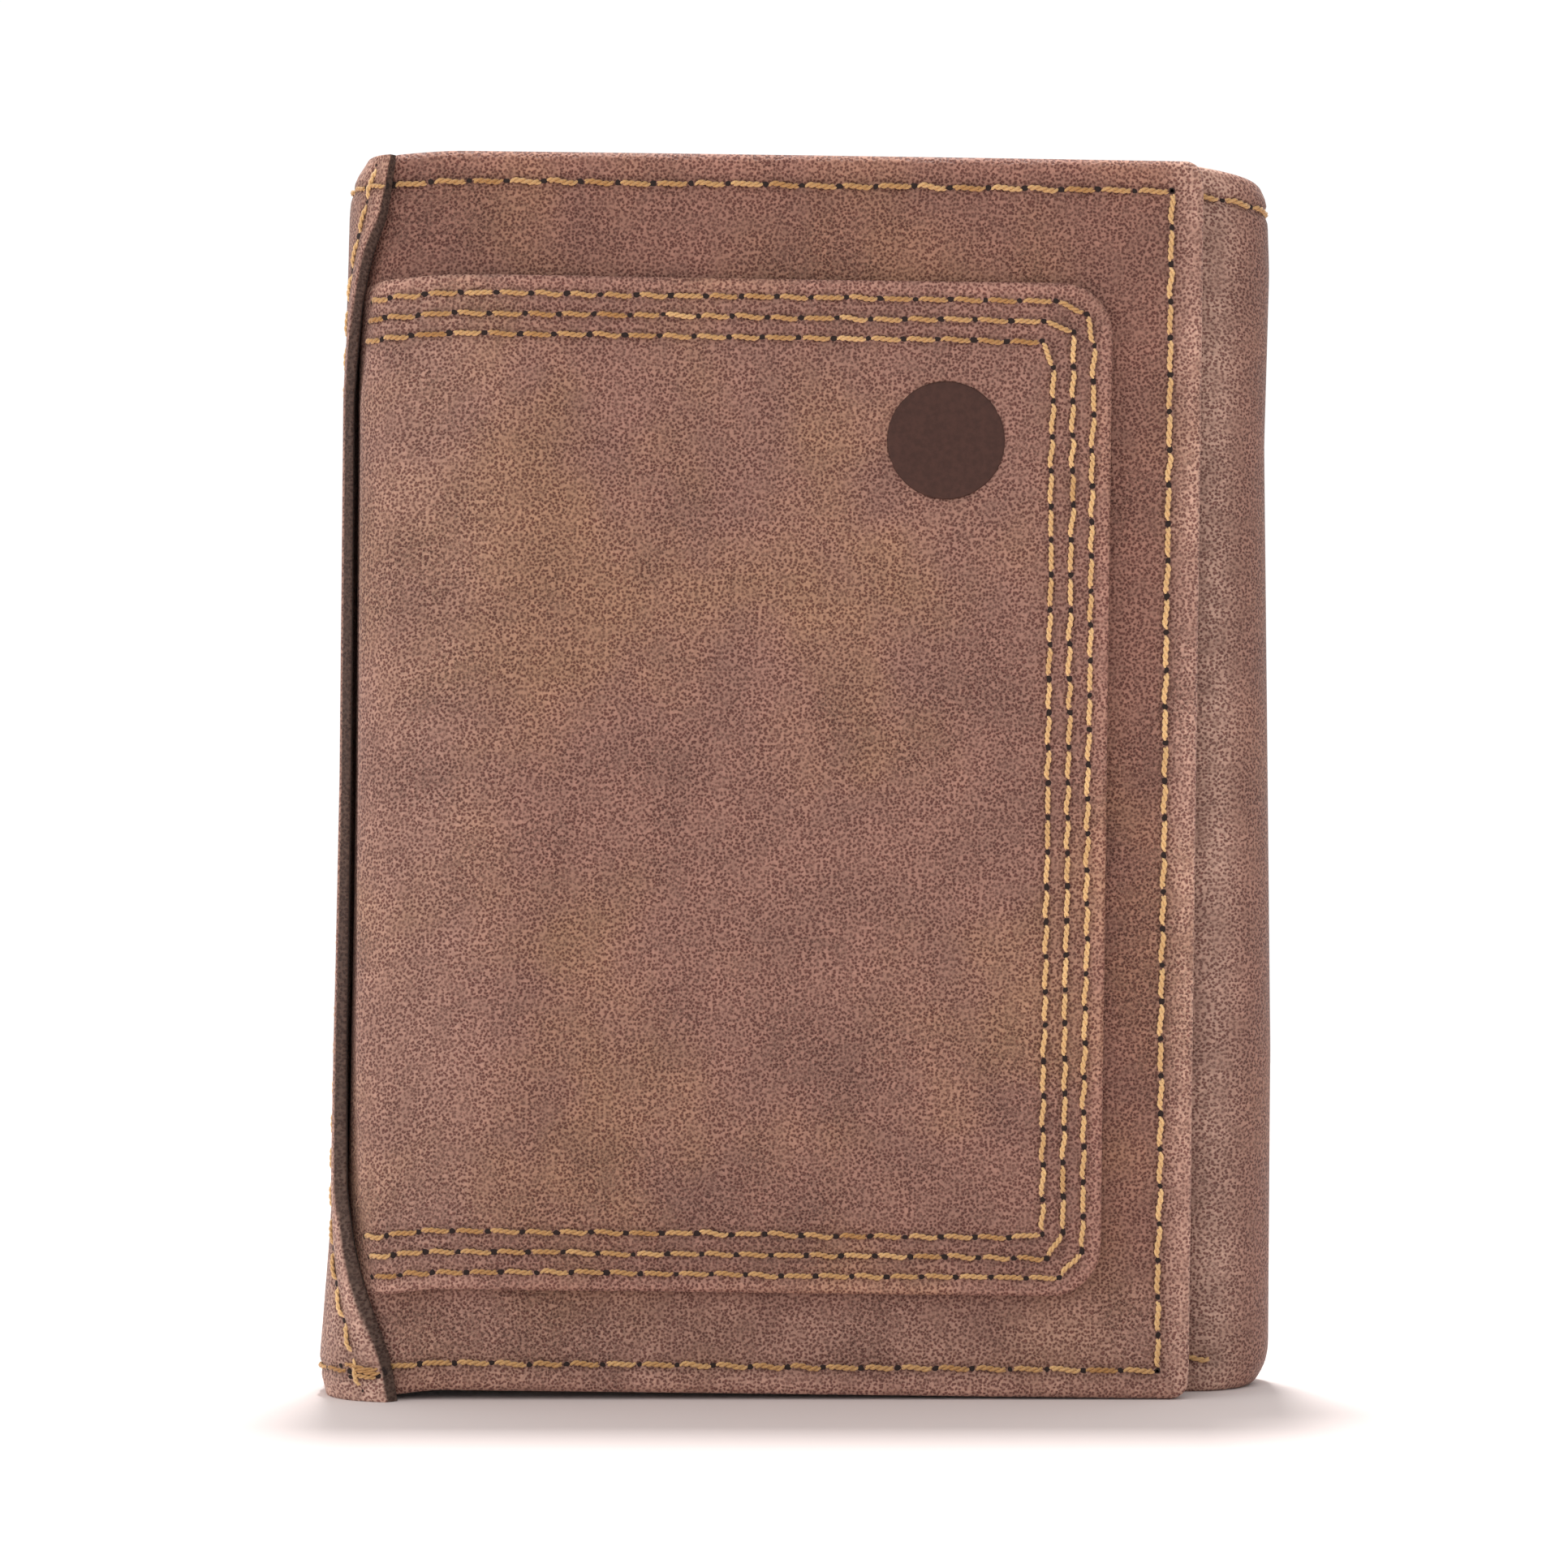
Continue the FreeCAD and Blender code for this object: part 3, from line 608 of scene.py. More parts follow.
OUTER = leather_material("outer_leather", (129, 90, 78), (135, 96, 77), 1)
OVERLAY = leather_material("overlay_leather", (136, 98, 86), (143, 105, 84), 2, cracked=0.3)
FOLD = leather_material("fold_leather", (134, 97, 85), (139, 102, 87), 3, cracked=0.1)
INNER = leather_material("inner_leather", (104, 66, 54), (110, 74, 57), 4, cracked=0.1)
THREAD = thread_material()
# Near-black colour for the needle hole discs: painted shade.
NEEDLE_HOLE_SHADE = plain_material("needle_hole_shade", (32, 16, 12), 0.9, 4000.0, 0.01)
EMBLEM = plain_material("emblem", (66, 41, 34), 0.65, 1900.0, 0.03, Specular_IOR_Level=0.25)
TWILL = cloth_material("lining_twill", (62, 48, 42))
FILM = plain_material("clear_film", (205, 209, 211), 0.1, 60.0, 0.01, Alpha=0.09)


# ---------------------------------------------------------------- how each piece moves


def point(x, y):
    """A point seen from above, in metres, for a bend."""
    return (x * MM, y * MM, 0.0)


# Each bend's bodies, and the points between which a piece goes over from the first body to the second
BENDS = {
    "front": ("left_spine", "front_flap", point(BEND_X - INNER_REACH, -BEND_Y),
              point(BEND_X, -BEND_Y - INNER_REACH)),
    "patch": ("left_spine", "front_flap", point(BEND_X - OUTER_REACH, -BEND_Y),
              point(BEND_X, -BEND_Y - OUTER_REACH)),
    "left": ("back_panel", "left_spine", point(BEND_X, BEND_Y + OUTER_REACH),
             point(BEND_X - OUTER_REACH, BEND_Y)),
    "pocket": ("back_panel", "left_spine", point(BEND_X, BEND_Y + INNER_REACH),
               point(BEND_X - INNER_REACH, BEND_Y)),
    "right": ("inner_flap", "back_panel", point(RIGHT_BEND_X, FLAP_INSIDE),
              point(RIGHT_BEND_X, BACK - LEATHER)),
    "right lining": ("inner_flap", "back_panel", point(RIGHT_BEND_X, 2 * BEND_Y - LINING_FACE),
                     point(RIGHT_BEND_X, LINING_FACE)),
    "right facing": ("inner_flap", "back_panel", point(RIGHT_BEND_X, FLAP_FACING_HIGH[1]),
                     point(RIGHT_BEND_X, BACK_FACING_LOW[1])),
    "front facing": ("left_spine", "front_flap", point(BEND_X - 1.6, 0.2), point(BEND_X + 3.2, -5.4)),
    "left facing": ("back_panel", "left_spine", point(BEND_X + 3.2, 5.8), point(BEND_X - 1.6, 0.2)),
}


def settle(piece, how, *nodes):
    """Makes a piece ride on a body, or for a bend bakes its placement into its points, and hides the CAD
    nodes it stands for.
    """
    if how in BENDS:
        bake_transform(piece)
    else:
        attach(piece, how)
    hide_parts(*nodes)
    return piece


def hemmed(low, high, side=None, shallow_top=0.45, deep=HEM_DEPTH):
    """The extra thickness where the leather is turned in."""
    def extra(u, v):
        thick = np.maximum(deep * smooth(low + HEM + HEM_RAMP, low + HEM, v),
                           shallow_top * smooth(high - HEM - HEM_RAMP, high - HEM, v))
        return np.maximum(thick, side(u, v)) if side else thick
    return extra


# ---------------------------------------------------------------- front flap

panel_radius = -BEND_Y - PANEL_LOW[1]
FRONT = Surface(
    line(BEND_X - panel_radius, 0, BEND_X - panel_radius, -BEND_Y),
    arc(BEND_X, -BEND_Y, panel_radius, 180, 270),
    line(BEND_X, PANEL_LOW[1], PANEL_HIGH[0], PANEL_LOW[1]), front=True)
turn = FRONT.marks[2]
free = FRONT.length()
front_rows = [
    [(turn - 4, BOTTOM_INSET), (free - SIDE_INSET, BOTTOM_INSET)],
    [(free - SIDE_INSET, BOTTOM_INSET), (free - SIDE_INSET, HEIGHT - TOP_INSET)],
    [(free - SIDE_INSET, HEIGHT - TOP_INSET), (turn - 4, HEIGHT - TOP_INSET)],
]
FRONT.seams = [np.array(row) for row in front_rows]
free_hem = lambda u, v: HEM_DEPTH * smooth(free - HEM - HEM_RAMP, free - HEM, u)
in_fold = lambda u, v: smooth(turn - 1, turn + 4, u)
front_hem = hemmed(0, HEIGHT, free_hem)
# Paler towards the free edge, painted highlight that is partly rubbed wear, and lighter towards the bottom,
# painted light.
front_worn = lambda u, v: np.maximum(0.5 * smooth(free - 4.5, free - 0.5, u), 0.3 * smooth(16, 5, v))
settle(sheet_piece("front_panel", FRONT, 0.0, free, 0.0, HEIGHT, LEATHER, OUTER,
                   "top bottom right", corner=1.7, round_out=0.85, round_in=0.5,
                   hem=lambda u, v: front_hem(u, v) * in_fold(u, v), worn=front_worn,
                   u_seams=(free - SIDE_INSET,), v_seams=(BOTTOM_INSET, HEIGHT - TOP_INSET)),
       "front", "front_outer_leather", "left_fold_pocket_leather")
settle(stitch_piece("front_edge_stitches", FRONT, front_rows, EDGE_PITCH), "front", "front_edge_thread")


def mouth_travel(v, past=0.0):
    """How far along the strip's path the pocket mouth lies, and past it by an angle in degrees."""
    return BEND_Y + np.radians(np.maximum(follow(MOUTH, v) + past, 2.0)) * FOLD_RADIUS


def dive(u, v):
    """How far the overlay sinks, on its way under the pocket mouth."""
    return -1.22 * smooth(mouth_travel(v, 26), mouth_travel(v, 3), u)


def emblem_dent(u, v):
    away = np.hypot(u - emblem_u, v - emblem_v)
    return 0.3 * smooth(emblem_radius + 0.25, emblem_radius + 0.02, away)


PATCH = Surface(
    line(BEND_X - FOLD_RADIUS, 0, BEND_X - FOLD_RADIUS, -BEND_Y),
    arc(BEND_X, -BEND_Y, FOLD_RADIUS, 180, 270),
    line(BEND_X, -BACK, OVERLAY_HIGH[0], -BACK), front=True, groove=0.15, lift=dive, dents=emblem_dent,
    offset=140)
patch_turn = PATCH.marks[2]
patch_end = PATCH.length()
patch_low, patch_high = OVERLAY_LOW[2], OVERLAY_HIGH[2]
emblem_u = patch_turn + (EMBLEM_LOW[0] + EMBLEM_HIGH[0]) / 2 - BEND_X
emblem_v = (EMBLEM_LOW[2] + EMBLEM_HIGH[2]) / 2
emblem_radius = (EMBLEM_HIGH[0] - EMBLEM_LOW[0]) / 2
overlay_corner = 4.5
patch_rows = []
for inset in OVERLAY_INSETS:
    end, low, high = patch_end - inset, patch_low + inset, patch_high - inset
    radius = max(overlay_corner - inset, 0.3)
    start_low, start_high = (float(mouth_travel(z, 9)) for z in (low, high))
    patch_rows.append([(start_low, low)] + round_corner(end - radius, low + radius, radius, -90, 0)
                      + round_corner(end - radius, high - radius, radius, 0, 90) + [(start_high, high)])
PATCH.seams = [np.array(row) for row in patch_rows]
# The overlay is paler towards the fold: painted highlight on its rounded left side.
settle(sheet_piece("front_overlay", PATCH, lambda v: mouth_travel(v, -10), patch_end, patch_low, patch_high,
                   LEATHER - GAP, OVERLAY, "top bottom right", corner=overlay_corner,
                   round_out=0.45, round_in=0.2, thin=lambda u, v: 1 + dive(u, v) / LEATHER, step=0.8,
                   worn=lambda u, v: 0.25 * smooth(patch_turn + 14, patch_turn, u),
                   u_seams=[patch_end - inset for inset in OVERLAY_INSETS],
                   v_seams=[patch_low + inset for inset in OVERLAY_INSETS]
                   + [patch_high - inset for inset in OVERLAY_INSETS]
                   + [emblem_v + side * emblem_radius for side in (-1, 1)]),
       "patch", "front_overlay_leather")
for row, which in zip(patch_rows, ("outer", "middle", "inner")):
    settle(stitch_piece(f"overlay_stitches_{which}", PATCH, [row], OVERLAY_PITCH, strand=0.138), "patch",
           f"overlay_thread_{which}")

around = np.linspace(0, 2 * np.pi, 96, endpoint=False)
# The disc's section: shares of its radius, and depths in mm below the overlay's face
profile = ((0.0, 0.2), (0.55, 0.2), (0.9, 0.2), (0.985, 0.2), (1.0, 0.18), (1.0, 0.13), (0.985, 0.085),
           (0.955, 0.07), (0.9, 0.06), (0.6, 0.06), (0.3, 0.06), (0.02, 0.06))
rings = [PATCH.place(emblem_u + emblem_radius * max(share, 0.02) * np.cos(around),
                     emblem_v + emblem_radius * max(share, 0.02) * np.sin(around), depth)
         for share, depth in profile]
points, quads = tubes(np.array([rings]))
settle(make_piece("emblem_plate", points, quads, {}, [EMBLEM], sharp=60), "front_flap",
       "emblem_disc")

# ---------------------------------------------------------------- outer leather round the folds


def gape(u, v):
    """How far the pocket mouth stands open."""
    open_here = smooth(3, 14, v) * smooth(HEIGHT - 2, HEIGHT - 8, v)
    return 0.12 + 0.42 * open_here * smooth(mouth_travel(v) - 5.0, mouth_travel(v), u)


def strip_lift(u, v):
    """How far the strip is raised towards the mouth."""
    return gape(u, v) * smooth(0.0, 3.0, u)


def bevel(u, v):
    """How the cut edge of the pocket mouth slopes."""
    return 0.8 * np.clip((u - mouth_travel(v)) / 0.8 + 1, 0, 1)


seam_heights = (BOTTOM_INSET, HEIGHT - TOP_INSET)
WRAP = Surface(
    line(0, BACK, BEND_X, BACK),
    arc(BEND_X, BEND_Y, FOLD_RADIUS, 90, 180),
    line(BEND_X - FOLD_RADIUS, BEND_Y, BEND_X - FOLD_RADIUS, 0), groove=0.32)
wrap_rows = [[(0, z), (WRAP.length(), z)] for z in seam_heights]
WRAP.seams = [np.array(row) for row in wrap_rows]
flat_back = lambda u, v: smooth(-BEND_X + 1, -BEND_X - 4, u)
wrap_hem = hemmed(0, HEIGHT)
settle(sheet_piece("left_wrap", WRAP, 0.0, WRAP.length(), 0.0, HEIGHT, LEATHER, FOLD,
                   "top bottom", round_out=0.6, round_in=0.4,
                   hem=lambda u, v: wrap_hem(u, v) * flat_back(u, v),
                   v_seams=seam_heights), "left", "left_fold_outer_leather", "back_outer_leather")
settle(stitch_piece("left_wrap_stitches", WRAP, wrap_rows, EDGE_PITCH), "left", "left_fold_thread",
       "back_edge_thread")

STRIP = Surface(
    line(BEND_X - FOLD_RADIUS, 0, BEND_X - FOLD_RADIUS, -BEND_Y),
    arc(BEND_X, -BEND_Y, FOLD_RADIUS, 180, 276), groove=0.25, lift=strip_lift, dents=bevel,
    offset=WRAP.length())
heights = np.linspace(0.9, HEIGHT - 0.9, 60)
mouth_row = list(zip(mouth_travel(heights) - MOUTH_INSET, heights))
strip_rows = [mouth_row] + [[(0, z), (float(mouth_travel(z)) - 0.6, z)] for z in seam_heights]
low_end = float(mouth_travel(BOTTOM_INSET))
strip_rows += [[(low_end - 4.6, BOTTOM_INSET + 0.5), (low_end - 0.7, BOTTOM_INSET + 0.3)],
               [(low_end - 3.6, BOTTOM_INSET - 0.45), (low_end - 1.0, BOTTOM_INSET - 0.3)]]
STRIP.seams = [np.array(row) for row in strip_rows]
# The strip is paler, most of all towards the bottom: painted highlight on the left-facing fold.
settle(sheet_piece("pocket_mouth_strip", STRIP, 0.0, mouth_travel, 0.0, HEIGHT, LEATHER - 0.15, FOLD,
                   "top bottom right", round_out=0.12, round_in=0.12, raw=("right",),
                   raw_width=0.85, step=0.7,
                   worn=lambda u, v: (0.15 + 0.55 * smooth(34, 8, v)) * smooth(1.0, 4.0, u), u_seams=(9.0,),
                   v_seams=seam_heights), "front", "left_fold_outer_leather")
settle(stitch_piece("pocket_mouth_stitches", STRIP, strip_rows, EDGE_PITCH, strand=0.12), "front",
       "pocket_mouth_thread")

FLAP = Surface(
    line(FLAP_LOW[0], FLAP_LOW[1], RIGHT_BEND_X, FLAP_LOW[1]),
    arc(RIGHT_BEND_X, BEND_Y, FOLD_RADIUS, -90, 90),
    line(RIGHT_BEND_X, BACK, 0, BACK), groove=0.3)
FLAP.offset = -FLAP.length()
fold_start, fold_end = FLAP.marks[1], FLAP.marks[2]
flap_rows = [[(SIDE_INSET, BOTTOM_INSET), (fold_start + 1.8, BOTTOM_INSET + 0.4)],
             [(fold_end, BOTTOM_INSET), (FLAP.length(), BOTTOM_INSET)],
             [(SIDE_INSET, HEIGHT - TOP_INSET), (FLAP.length(), HEIGHT - TOP_INSET)]]
flap_rows.append([(SIDE_INSET, seam_heights[0]), (SIDE_INSET, seam_heights[1])])
FLAP.seams = [np.array(row) for row in flap_rows]
flap_hem = hemmed(0, HEIGHT, lambda u, v: HEM_DEPTH * smooth(HEM + HEM_RAMP, HEM, u))
# A pale band along the right fold's shoulder: painted highlight, partly rubbed wear.
settle(sheet_piece("right_wrap", FLAP, 0.0, FLAP.length(), 0.0, HEIGHT, LEATHER, FOLD,
                   "top bottom left", corner=1.5, round_out=0.6, round_in=0.4, hem=flap_hem,
                   worn=lambda u, v: 0.85 * np.exp(-((u - fold_start - 1.6) / 2.0) ** 2),
                   u_seams=(SIDE_INSET,), v_seams=seam_heights),
       "right", "right_fold_outer_leather", "inner_flap_outer_leather", "back_outer_leather")
settle(stitch_piece("right_wrap_stitches", FLAP, flap_rows, EDGE_PITCH), "right", "right_fold_thread",
       "inner_flap_edge_thread", "back_edge_thread")

pocket_radius = BEND_X - POCKET_LOW[0]
pocket_y = BEND_Y + pocket_radius
POCKET = Surface(
    line(BEND_X + 5, pocket_y, BEND_X, pocket_y),
    arc(BEND_X, BEND_Y, pocket_radius, 90, 180),
    line(BEND_X - pocket_radius, BEND_Y, BEND_X - pocket_radius, 0), offset=300)
settle(sheet_piece("pocket_back", POCKET, 5.0, POCKET.length(), 0.3, HEIGHT - 0.3, POCKET_LEATHER, OUTER,
                   "top bottom", round_out=0.3, round_in=0.3),
       "pocket", "left_fold_pocket_leather")

# ---------------------------------------------------------------- linings, facings and pockets


def lining(name, how, surface, rests_on, *nodes, low=LINING_LOW[2], high=LINING_HIGH[2]):
    piece = sheet_piece(name, surface, 0.0, surface.length(), low, high, CLOTH, TWILL,
                        round_out=0.08, round_in=0.08, step=1.5)
    settle(piece, how, *nodes)
    surface.length() * MM


front_lining_y = FRONT_LINING_HIGH[1]
lining("lining_front", "front", Surface(
    line(FRONT_LINING_HIGH[0], front_lining_y, BEND_X, front_lining_y),
    arc(BEND_X, -BEND_Y, -BEND_Y - front_lining_y, 270, 180),
    line(BEND_X + BEND_Y + front_lining_y, -BEND_Y, BEND_X + BEND_Y + front_lining_y, -GAP), front=True),
    "front_panel", "front_lining", "left_fold_lining")
lining("lining_left", "pocket", Surface(
    line(BEND_X + BEND_Y + front_lining_y, GAP, BEND_X + BEND_Y + front_lining_y, BEND_Y),
    arc(BEND_X, BEND_Y, -BEND_Y - front_lining_y, 180, 90),
    line(BEND_X, -front_lining_y, BEND_X + 1.5, -front_lining_y),
    line(BEND_X + 1.5, -front_lining_y, BEND_X + 5, LINING_FACE),
    line(BEND_X + 5, LINING_FACE, -GAP, LINING_FACE)),
    "left_wrap", "back_lining", "left_fold_lining")
lining("lining_right", "right lining", Surface(
    line(GAP, LINING_FACE, RIGHT_BEND_X, LINING_FACE),
    arc(RIGHT_BEND_X, BEND_Y, LINING_FACE - BEND_Y, 90, -90),
    line(RIGHT_BEND_X, 2 * BEND_Y - LINING_FACE, FLAP_LINING_LOW[0], 2 * BEND_Y - LINING_FACE)),
    "right_wrap", "right_fold_lining", "inner_flap_lining", "back_lining")
DIVIDER_LOW, DIVIDER_HIGH = box_mm("bill_divider")
lining("divider_cloth", "back_panel", Surface(
    line(DIVIDER_LOW[0], DIVIDER_LOW[1], DIVIDER_HIGH[0], DIVIDER_LOW[1])),
    "back_facing_left", "bill_divider", low=DIVIDER_LOW[2], high=DIVIDER_HIGH[2])


def facing(name, how, surface, *nodes, real="top bottom"):
    low, high = FACING_LOW[2], FACING_HIGH[2]
    piece = sheet_piece(name, surface, 0.0, surface.length(), low, high, FACING - GAP, INNER,
                        real, round_out=0.25, round_in=0.2, step=1.2)
    settle(piece, how, *nodes)


facing_y = FACING_HIGH[1]
back_y = BACK_FACING_LOW[1]
spine_x = SPINE_FACING_LOW[0] + FACING
spine_radius = BEND_X - spine_x
facing("front_facing", "front facing", Surface(
    line(FACING_HIGH[0], facing_y, BEND_X, facing_y),
    arc(BEND_X, facing_y + spine_radius, spine_radius, 270, 180),
    line(spine_x, facing_y + spine_radius, spine_x, 0), front=True),
    "front_inner_leather", "left_fold_inner_leather", real="top bottom left")
facing("back_facing_left", "left facing", Surface(
    line(spine_x, 0, spine_x, back_y - spine_radius),
    arc(BEND_X, back_y - spine_radius, spine_radius, 180, 90),
    line(BEND_X, back_y, 0, back_y), offset=120), "back_inner_leather", "left_fold_inner_leather")
flap_facing_y = FLAP_FACING_HIGH[1]
fold_radius = (back_y - flap_facing_y) / 2
facing("right_facing", "right facing", Surface(
    line(0, back_y, RIGHT_BEND_X, back_y),
    arc(RIGHT_BEND_X, (back_y + flap_facing_y) / 2, fold_radius, 90, -90),
    line(RIGHT_BEND_X, flap_facing_y, FLAP_FACING_LOW[0], flap_facing_y), offset=160),
    "back_inner_leather", "right_fold_inner_leather", "inner_flap_inner_leather", real="top bottom right")


def card_pockets(prefix, body, facing_sign):
    """Three stepped card pockets, each with a creased line along its mouth, and the row that holds them."""
    for number, which in enumerate(("rear", "middle", "front")):
        low, high = box_mm(f"{prefix}_card_pocket_{which}")
        y = low[1] if facing_sign < 0 else high[1]
        span = (low[0], high[0]) if facing_sign < 0 else (high[0], low[0])
        width = high[0] - low[0]
        surface = Surface(line(span[0], y, span[1], y), offset=200 + 90 * number)
        dent = lambda u, v, top=high[2]: 0.1 * np.exp(-((v - top + CREASE_INSET) / 0.22) ** 2)
        surface.dents = dent
        rows = []
        if which == "front":
            a, b, c, d = POCKET_INSET, width - POCKET_INSET, low[2] + POCKET_INSET, high[2] - POCKET_INSET
            rows = [[(a, d), (a, c)], [(a, c), (b, c)], [(b, c), (b, d)]]
            surface.seams = [np.array(row) for row in rows]
        settle(sheet_piece(f"{prefix}_pocket_{which}", surface, 0.0, width, low[2], high[2],
                           high[1] - low[1] - 0.03, INNER, corner=0.8, round_out=0.28,
                           round_in=0.12, raw=("top",), v_seams=(high[2] - CREASE_INSET,)),
               body, f"{prefix}_card_pocket_{which}")
        if rows:
            settle(stitch_piece(f"{prefix}_pocket_stitches", surface, rows, OVERLAY_PITCH, strand=0.11), body,
                   f"{prefix}_pocket_thread")


card_pockets("back", "back_panel", -1)
card_pockets("inner_flap", "inner_flap", 1)

# ---------------------------------------------------------------- ID window

FRAME_LOW, FRAME_HIGH = box_mm("id_window_frame")
FILM_LOW, FILM_HIGH = box_mm("id_window_film")
WINDOW_LOW, WINDOW_HIGH = (7.0, 7.0), (55.0, 86.0)
WINDOW_BORDER = WINDOW_LOW[0]
WINDOW_CORNER = 3.0
SURROUND_DEPTH = 0.72
ID = Surface(line(FRAME_HIGH[0], FRAME_HIGH[1], FRAME_LOW[0], FRAME_HIGH[1]), front=True, offset=500)
frame_width = FRAME_HIGH[0] - FRAME_LOW[0]


def ring_points(low, high, radius):
    """The outline of a rounded rectangle, with as many points on each side and corner whatever its size."""
    (a, c), (b, d) = low, high
    found = []
    for cu, cv, first, (su, sv), (eu, ev) in (
            (b - radius, c + radius, -90, (a + radius, c), (b - radius, c)),
            (b - radius, d - radius, 0, (b, c + radius), (b, d - radius)),
            (a + radius, d - radius, 90, (b - radius, d), (a + radius, d)),
            (a + radius, c + radius, 180, (a, d - radius), (a, c + radius))):
        share = np.linspace(0, 1, 40, endpoint=False)[:, None]
        found.append(np.array([su, sv]) + share * np.array([eu - su, ev - sv]))
        turn = np.radians(first + np.linspace(0, 90, 12, endpoint=False))
        found.append(np.column_stack([cu + radius * np.cos(turn), cv + radius * np.sin(turn)]))
    return np.vstack(found)


id_a, id_b = POCKET_INSET, frame_width - POCKET_INSET
id_low, id_high = FRAME_LOW[2] + POCKET_INSET, FRAME_HIGH[2] - POCKET_INSET
id_rows = [[(id_a, id_high), (id_a, id_low)], [(id_a, id_low), (id_b, id_low)],
           [(id_b, id_low), (id_b, id_high)]]
ID.seams = [np.array(row) for row in id_rows]
outer_ring = ring_points((0.0, FRAME_LOW[2]), (frame_width, FRAME_HIGH[2]), 1.5)
inner_ring = ring_points((WINDOW_LOW[0], FRAME_LOW[2] + WINDOW_LOW[1]),
                         (WINDOW_HIGH[0], FRAME_LOW[2] + WINDOW_HIGH[1]), WINDOW_CORNER)
share = spread(0.0, WINDOW_BORDER, 0.8, ("low", "high"), (WINDOW_BORDER - POCKET_INSET,)) / WINDOW_BORDER
uv = inner_ring[:, None] + share[None, :, None] * (outer_ring - inner_ring)[:, None]
wide = np.linalg.norm(outer_ring - inner_ring, axis=1)[:, None]
rim = np.minimum(share, 1 - share)[None, :] * wide
top_depth = rounding(rim, 0.28) + ID.dented(uv[..., 0], uv[..., 1])
low_depth = np.maximum(SURROUND_DEPTH - rounding(rim, 0.12), top_depth + GAP)
upper = ID.place(uv[..., 0], uv[..., 1], top_depth)
under = ID.place(uv[..., 0], uv[..., 1], low_depth)[:, ::-1]
grid = np.concatenate([upper, under], 1)
count, across = grid.shape[:2]
index = np.arange(count * across).reshape(count, across)
beside = np.roll(index, -1, 1)
quads = np.stack([index, beside, np.roll(beside, -1, 0), np.roll(index, -1, 0)], -1)
flat = np.concatenate([uv, uv[:, ::-1]], 1)
values = {
    "flat": np.concatenate([flat + [500, 0], np.zeros((count, across, 1))], -1).reshape(-1, 3),
    "rim": np.concatenate([rim, rim[:, ::-1]], 1).ravel(),
    "seam": np.concatenate([ID.seam_distance(uv[..., 0], uv[..., 1]),
                            np.full(rim.shape, FAR_AWAY)], 1).ravel(),
    "cut": np.concatenate([smooth(0.16, 0.02, rim), smooth(0.5, 0.1, rim[:, ::-1])], 1).ravel() * 0.8,
}
settle(make_piece("id_window_surround", grid.reshape(-1, 3), quads.reshape(-1, 4), values, [INNER]), "front_flap", "id_window_frame")
settle(stitch_piece("id_window_stitches", ID, id_rows, OVERLAY_PITCH, strand=0.11), "front_flap",
       "id_window_thread")
WINDOW = Surface(line(FILM_HIGH[0], FILM_HIGH[1], FILM_LOW[0], FILM_HIGH[1]), front=True)
settle(sheet_piece("id_window_pane", WINDOW, 0.0, FILM_HIGH[0] - FILM_LOW[0], FILM_LOW[2], FILM_HIGH[2],
                   FILM_THICKNESS, FILM, corner=1.0, round_out=0.08, round_in=0.08, step=2.0),
       "front_flap", "id_window_film")

# ---------------------------------------------------------------- floor, light and camera

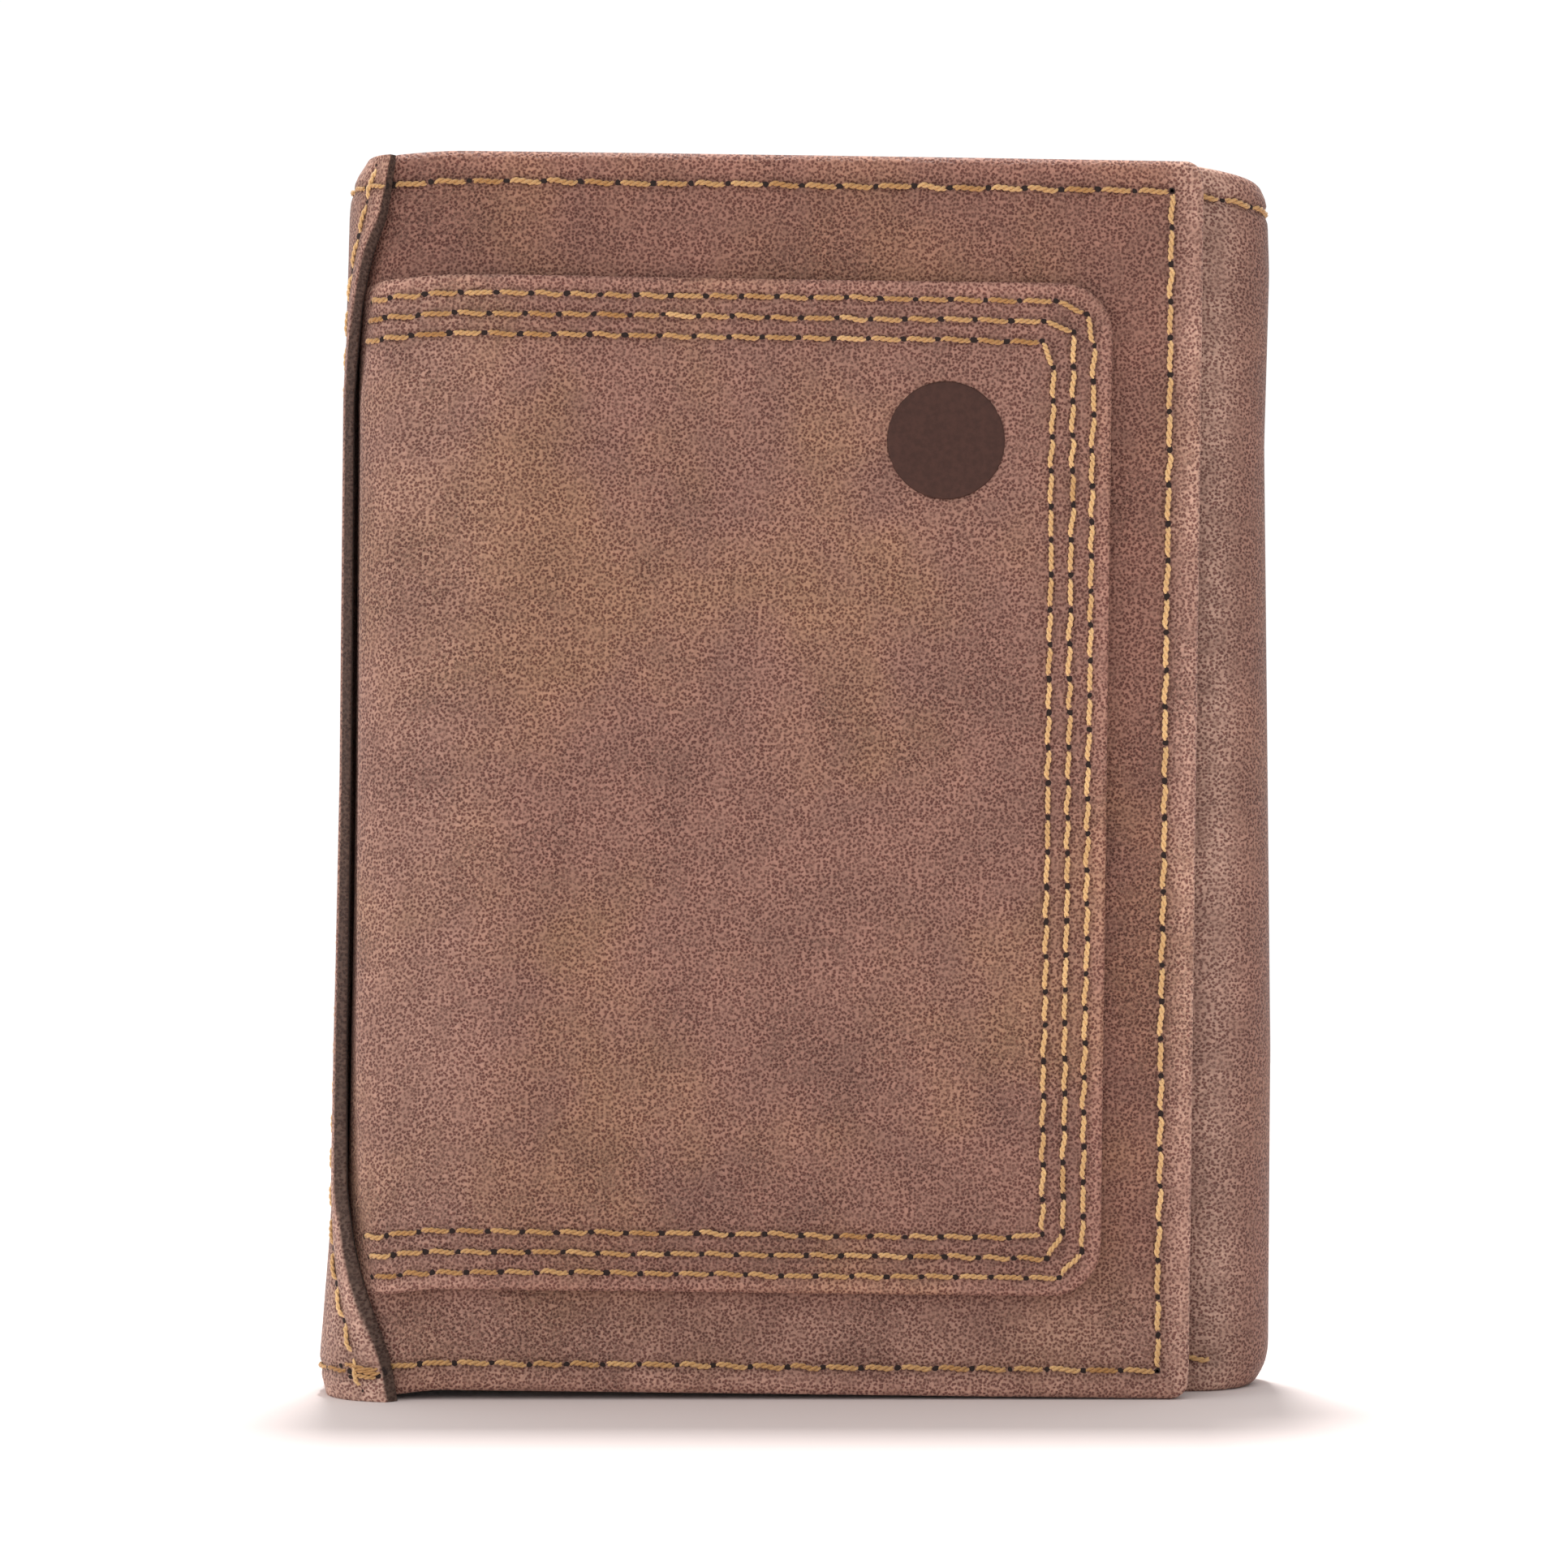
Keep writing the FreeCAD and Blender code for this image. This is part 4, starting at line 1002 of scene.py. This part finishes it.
# The floor is tinted warm: where lit it still reads white, and in the wallet's shadow the tint paints the
# warm light bounced off the leather.
g = Graph("floor", Roughness=0.9, Specular_IOR_Level=0.1)
g.shader.inputs["Base Color"].default_value = (0.78, 0.70, 0.68, 1)
floor_mesh = bpy.data.meshes.new("floor")
floor_mesh.from_pydata([(-0.6, -0.6, 0), (0.6, -0.6, 0), (0.6, 0.45, 0), (-0.6, 0.45, 0)], [], [(0, 1, 2, 3)])
floor_mesh.materials.append(g.material)
floor = bpy.data.objects.new("floor", floor_mesh)
bpy.context.scene.collection.objects.link(floor)

# White all round, with a dimmer side to the right
world = bpy.data.worlds.new("world")
world.use_nodes = True
sky = world.node_tree
towards = sky.nodes.new("ShaderNodeVectorMath")
towards.operation = "DOT_PRODUCT"
towards.inputs[1].default_value = (0.98, -0.2, 0.0)
level = sky.nodes.new("ShaderNodeMapRange")
level.interpolation_type = "SMOOTHSTEP"
for key, value in (("From Min", 0.2), ("From Max", 0.95), ("To Min", 1.03), ("To Max", 0.4)):
    level.inputs[key].default_value = value
sky.links.new(sky.nodes.new("ShaderNodeTexCoord").outputs["Generated"], towards.inputs[0])
sky.links.new(towards.outputs["Value"], level.inputs["Value"])
sky.links.new(level.outputs["Result"], sky.nodes["Background"].inputs["Strength"])
sky.nodes["Background"].inputs["Color"].default_value = (1, 1, 1, 1)
bpy.context.scene.world = world


def softbox(name, place, target, size, energy):
    light = bpy.data.lights.new(name, "AREA")
    light.shape = "RECTANGLE"
    light.size, light.size_y = size
    light.energy = energy
    lamp = bpy.data.objects.new(name, light)
    bpy.context.scene.collection.objects.link(lamp)
    lamp.location = place
    aim = bpy.data.objects.new(name + "_aim", None)
    aim.location = target
    direction = aim.location - lamp.location
    lamp.rotation_euler = direction.to_track_quat("-Z", "Y").to_euler()
    bpy.data.objects.remove(aim)


softbox("overhead", (0.0, 0.17, 0.9), (0, 0, 0.05), (0.1, 0.12), 8.0)
softbox("left", (-0.95, -0.55, 0.35), (0, 0, 0.05), (0.35, 0.7), 1.8)
softbox("right", (0.35, -1.0, 0.3), (0, 0, 0.05), (0.3, 0.6), 1.0)

camera = bpy.data.objects.new("camera", bpy.data.cameras.new("camera"))
bpy.context.scene.collection.objects.link(camera)
camera.location = (-1.16 * MM, -389.5 * MM, 53.5 * MM)
camera.rotation_euler = (math.radians(90), 0, 0)
camera.data.angle = math.radians(20.24)
camera.data.clip_start = 0.01
bpy.context.scene.camera = camera
bpy.context.scene.view_settings.view_transform = "Standard"
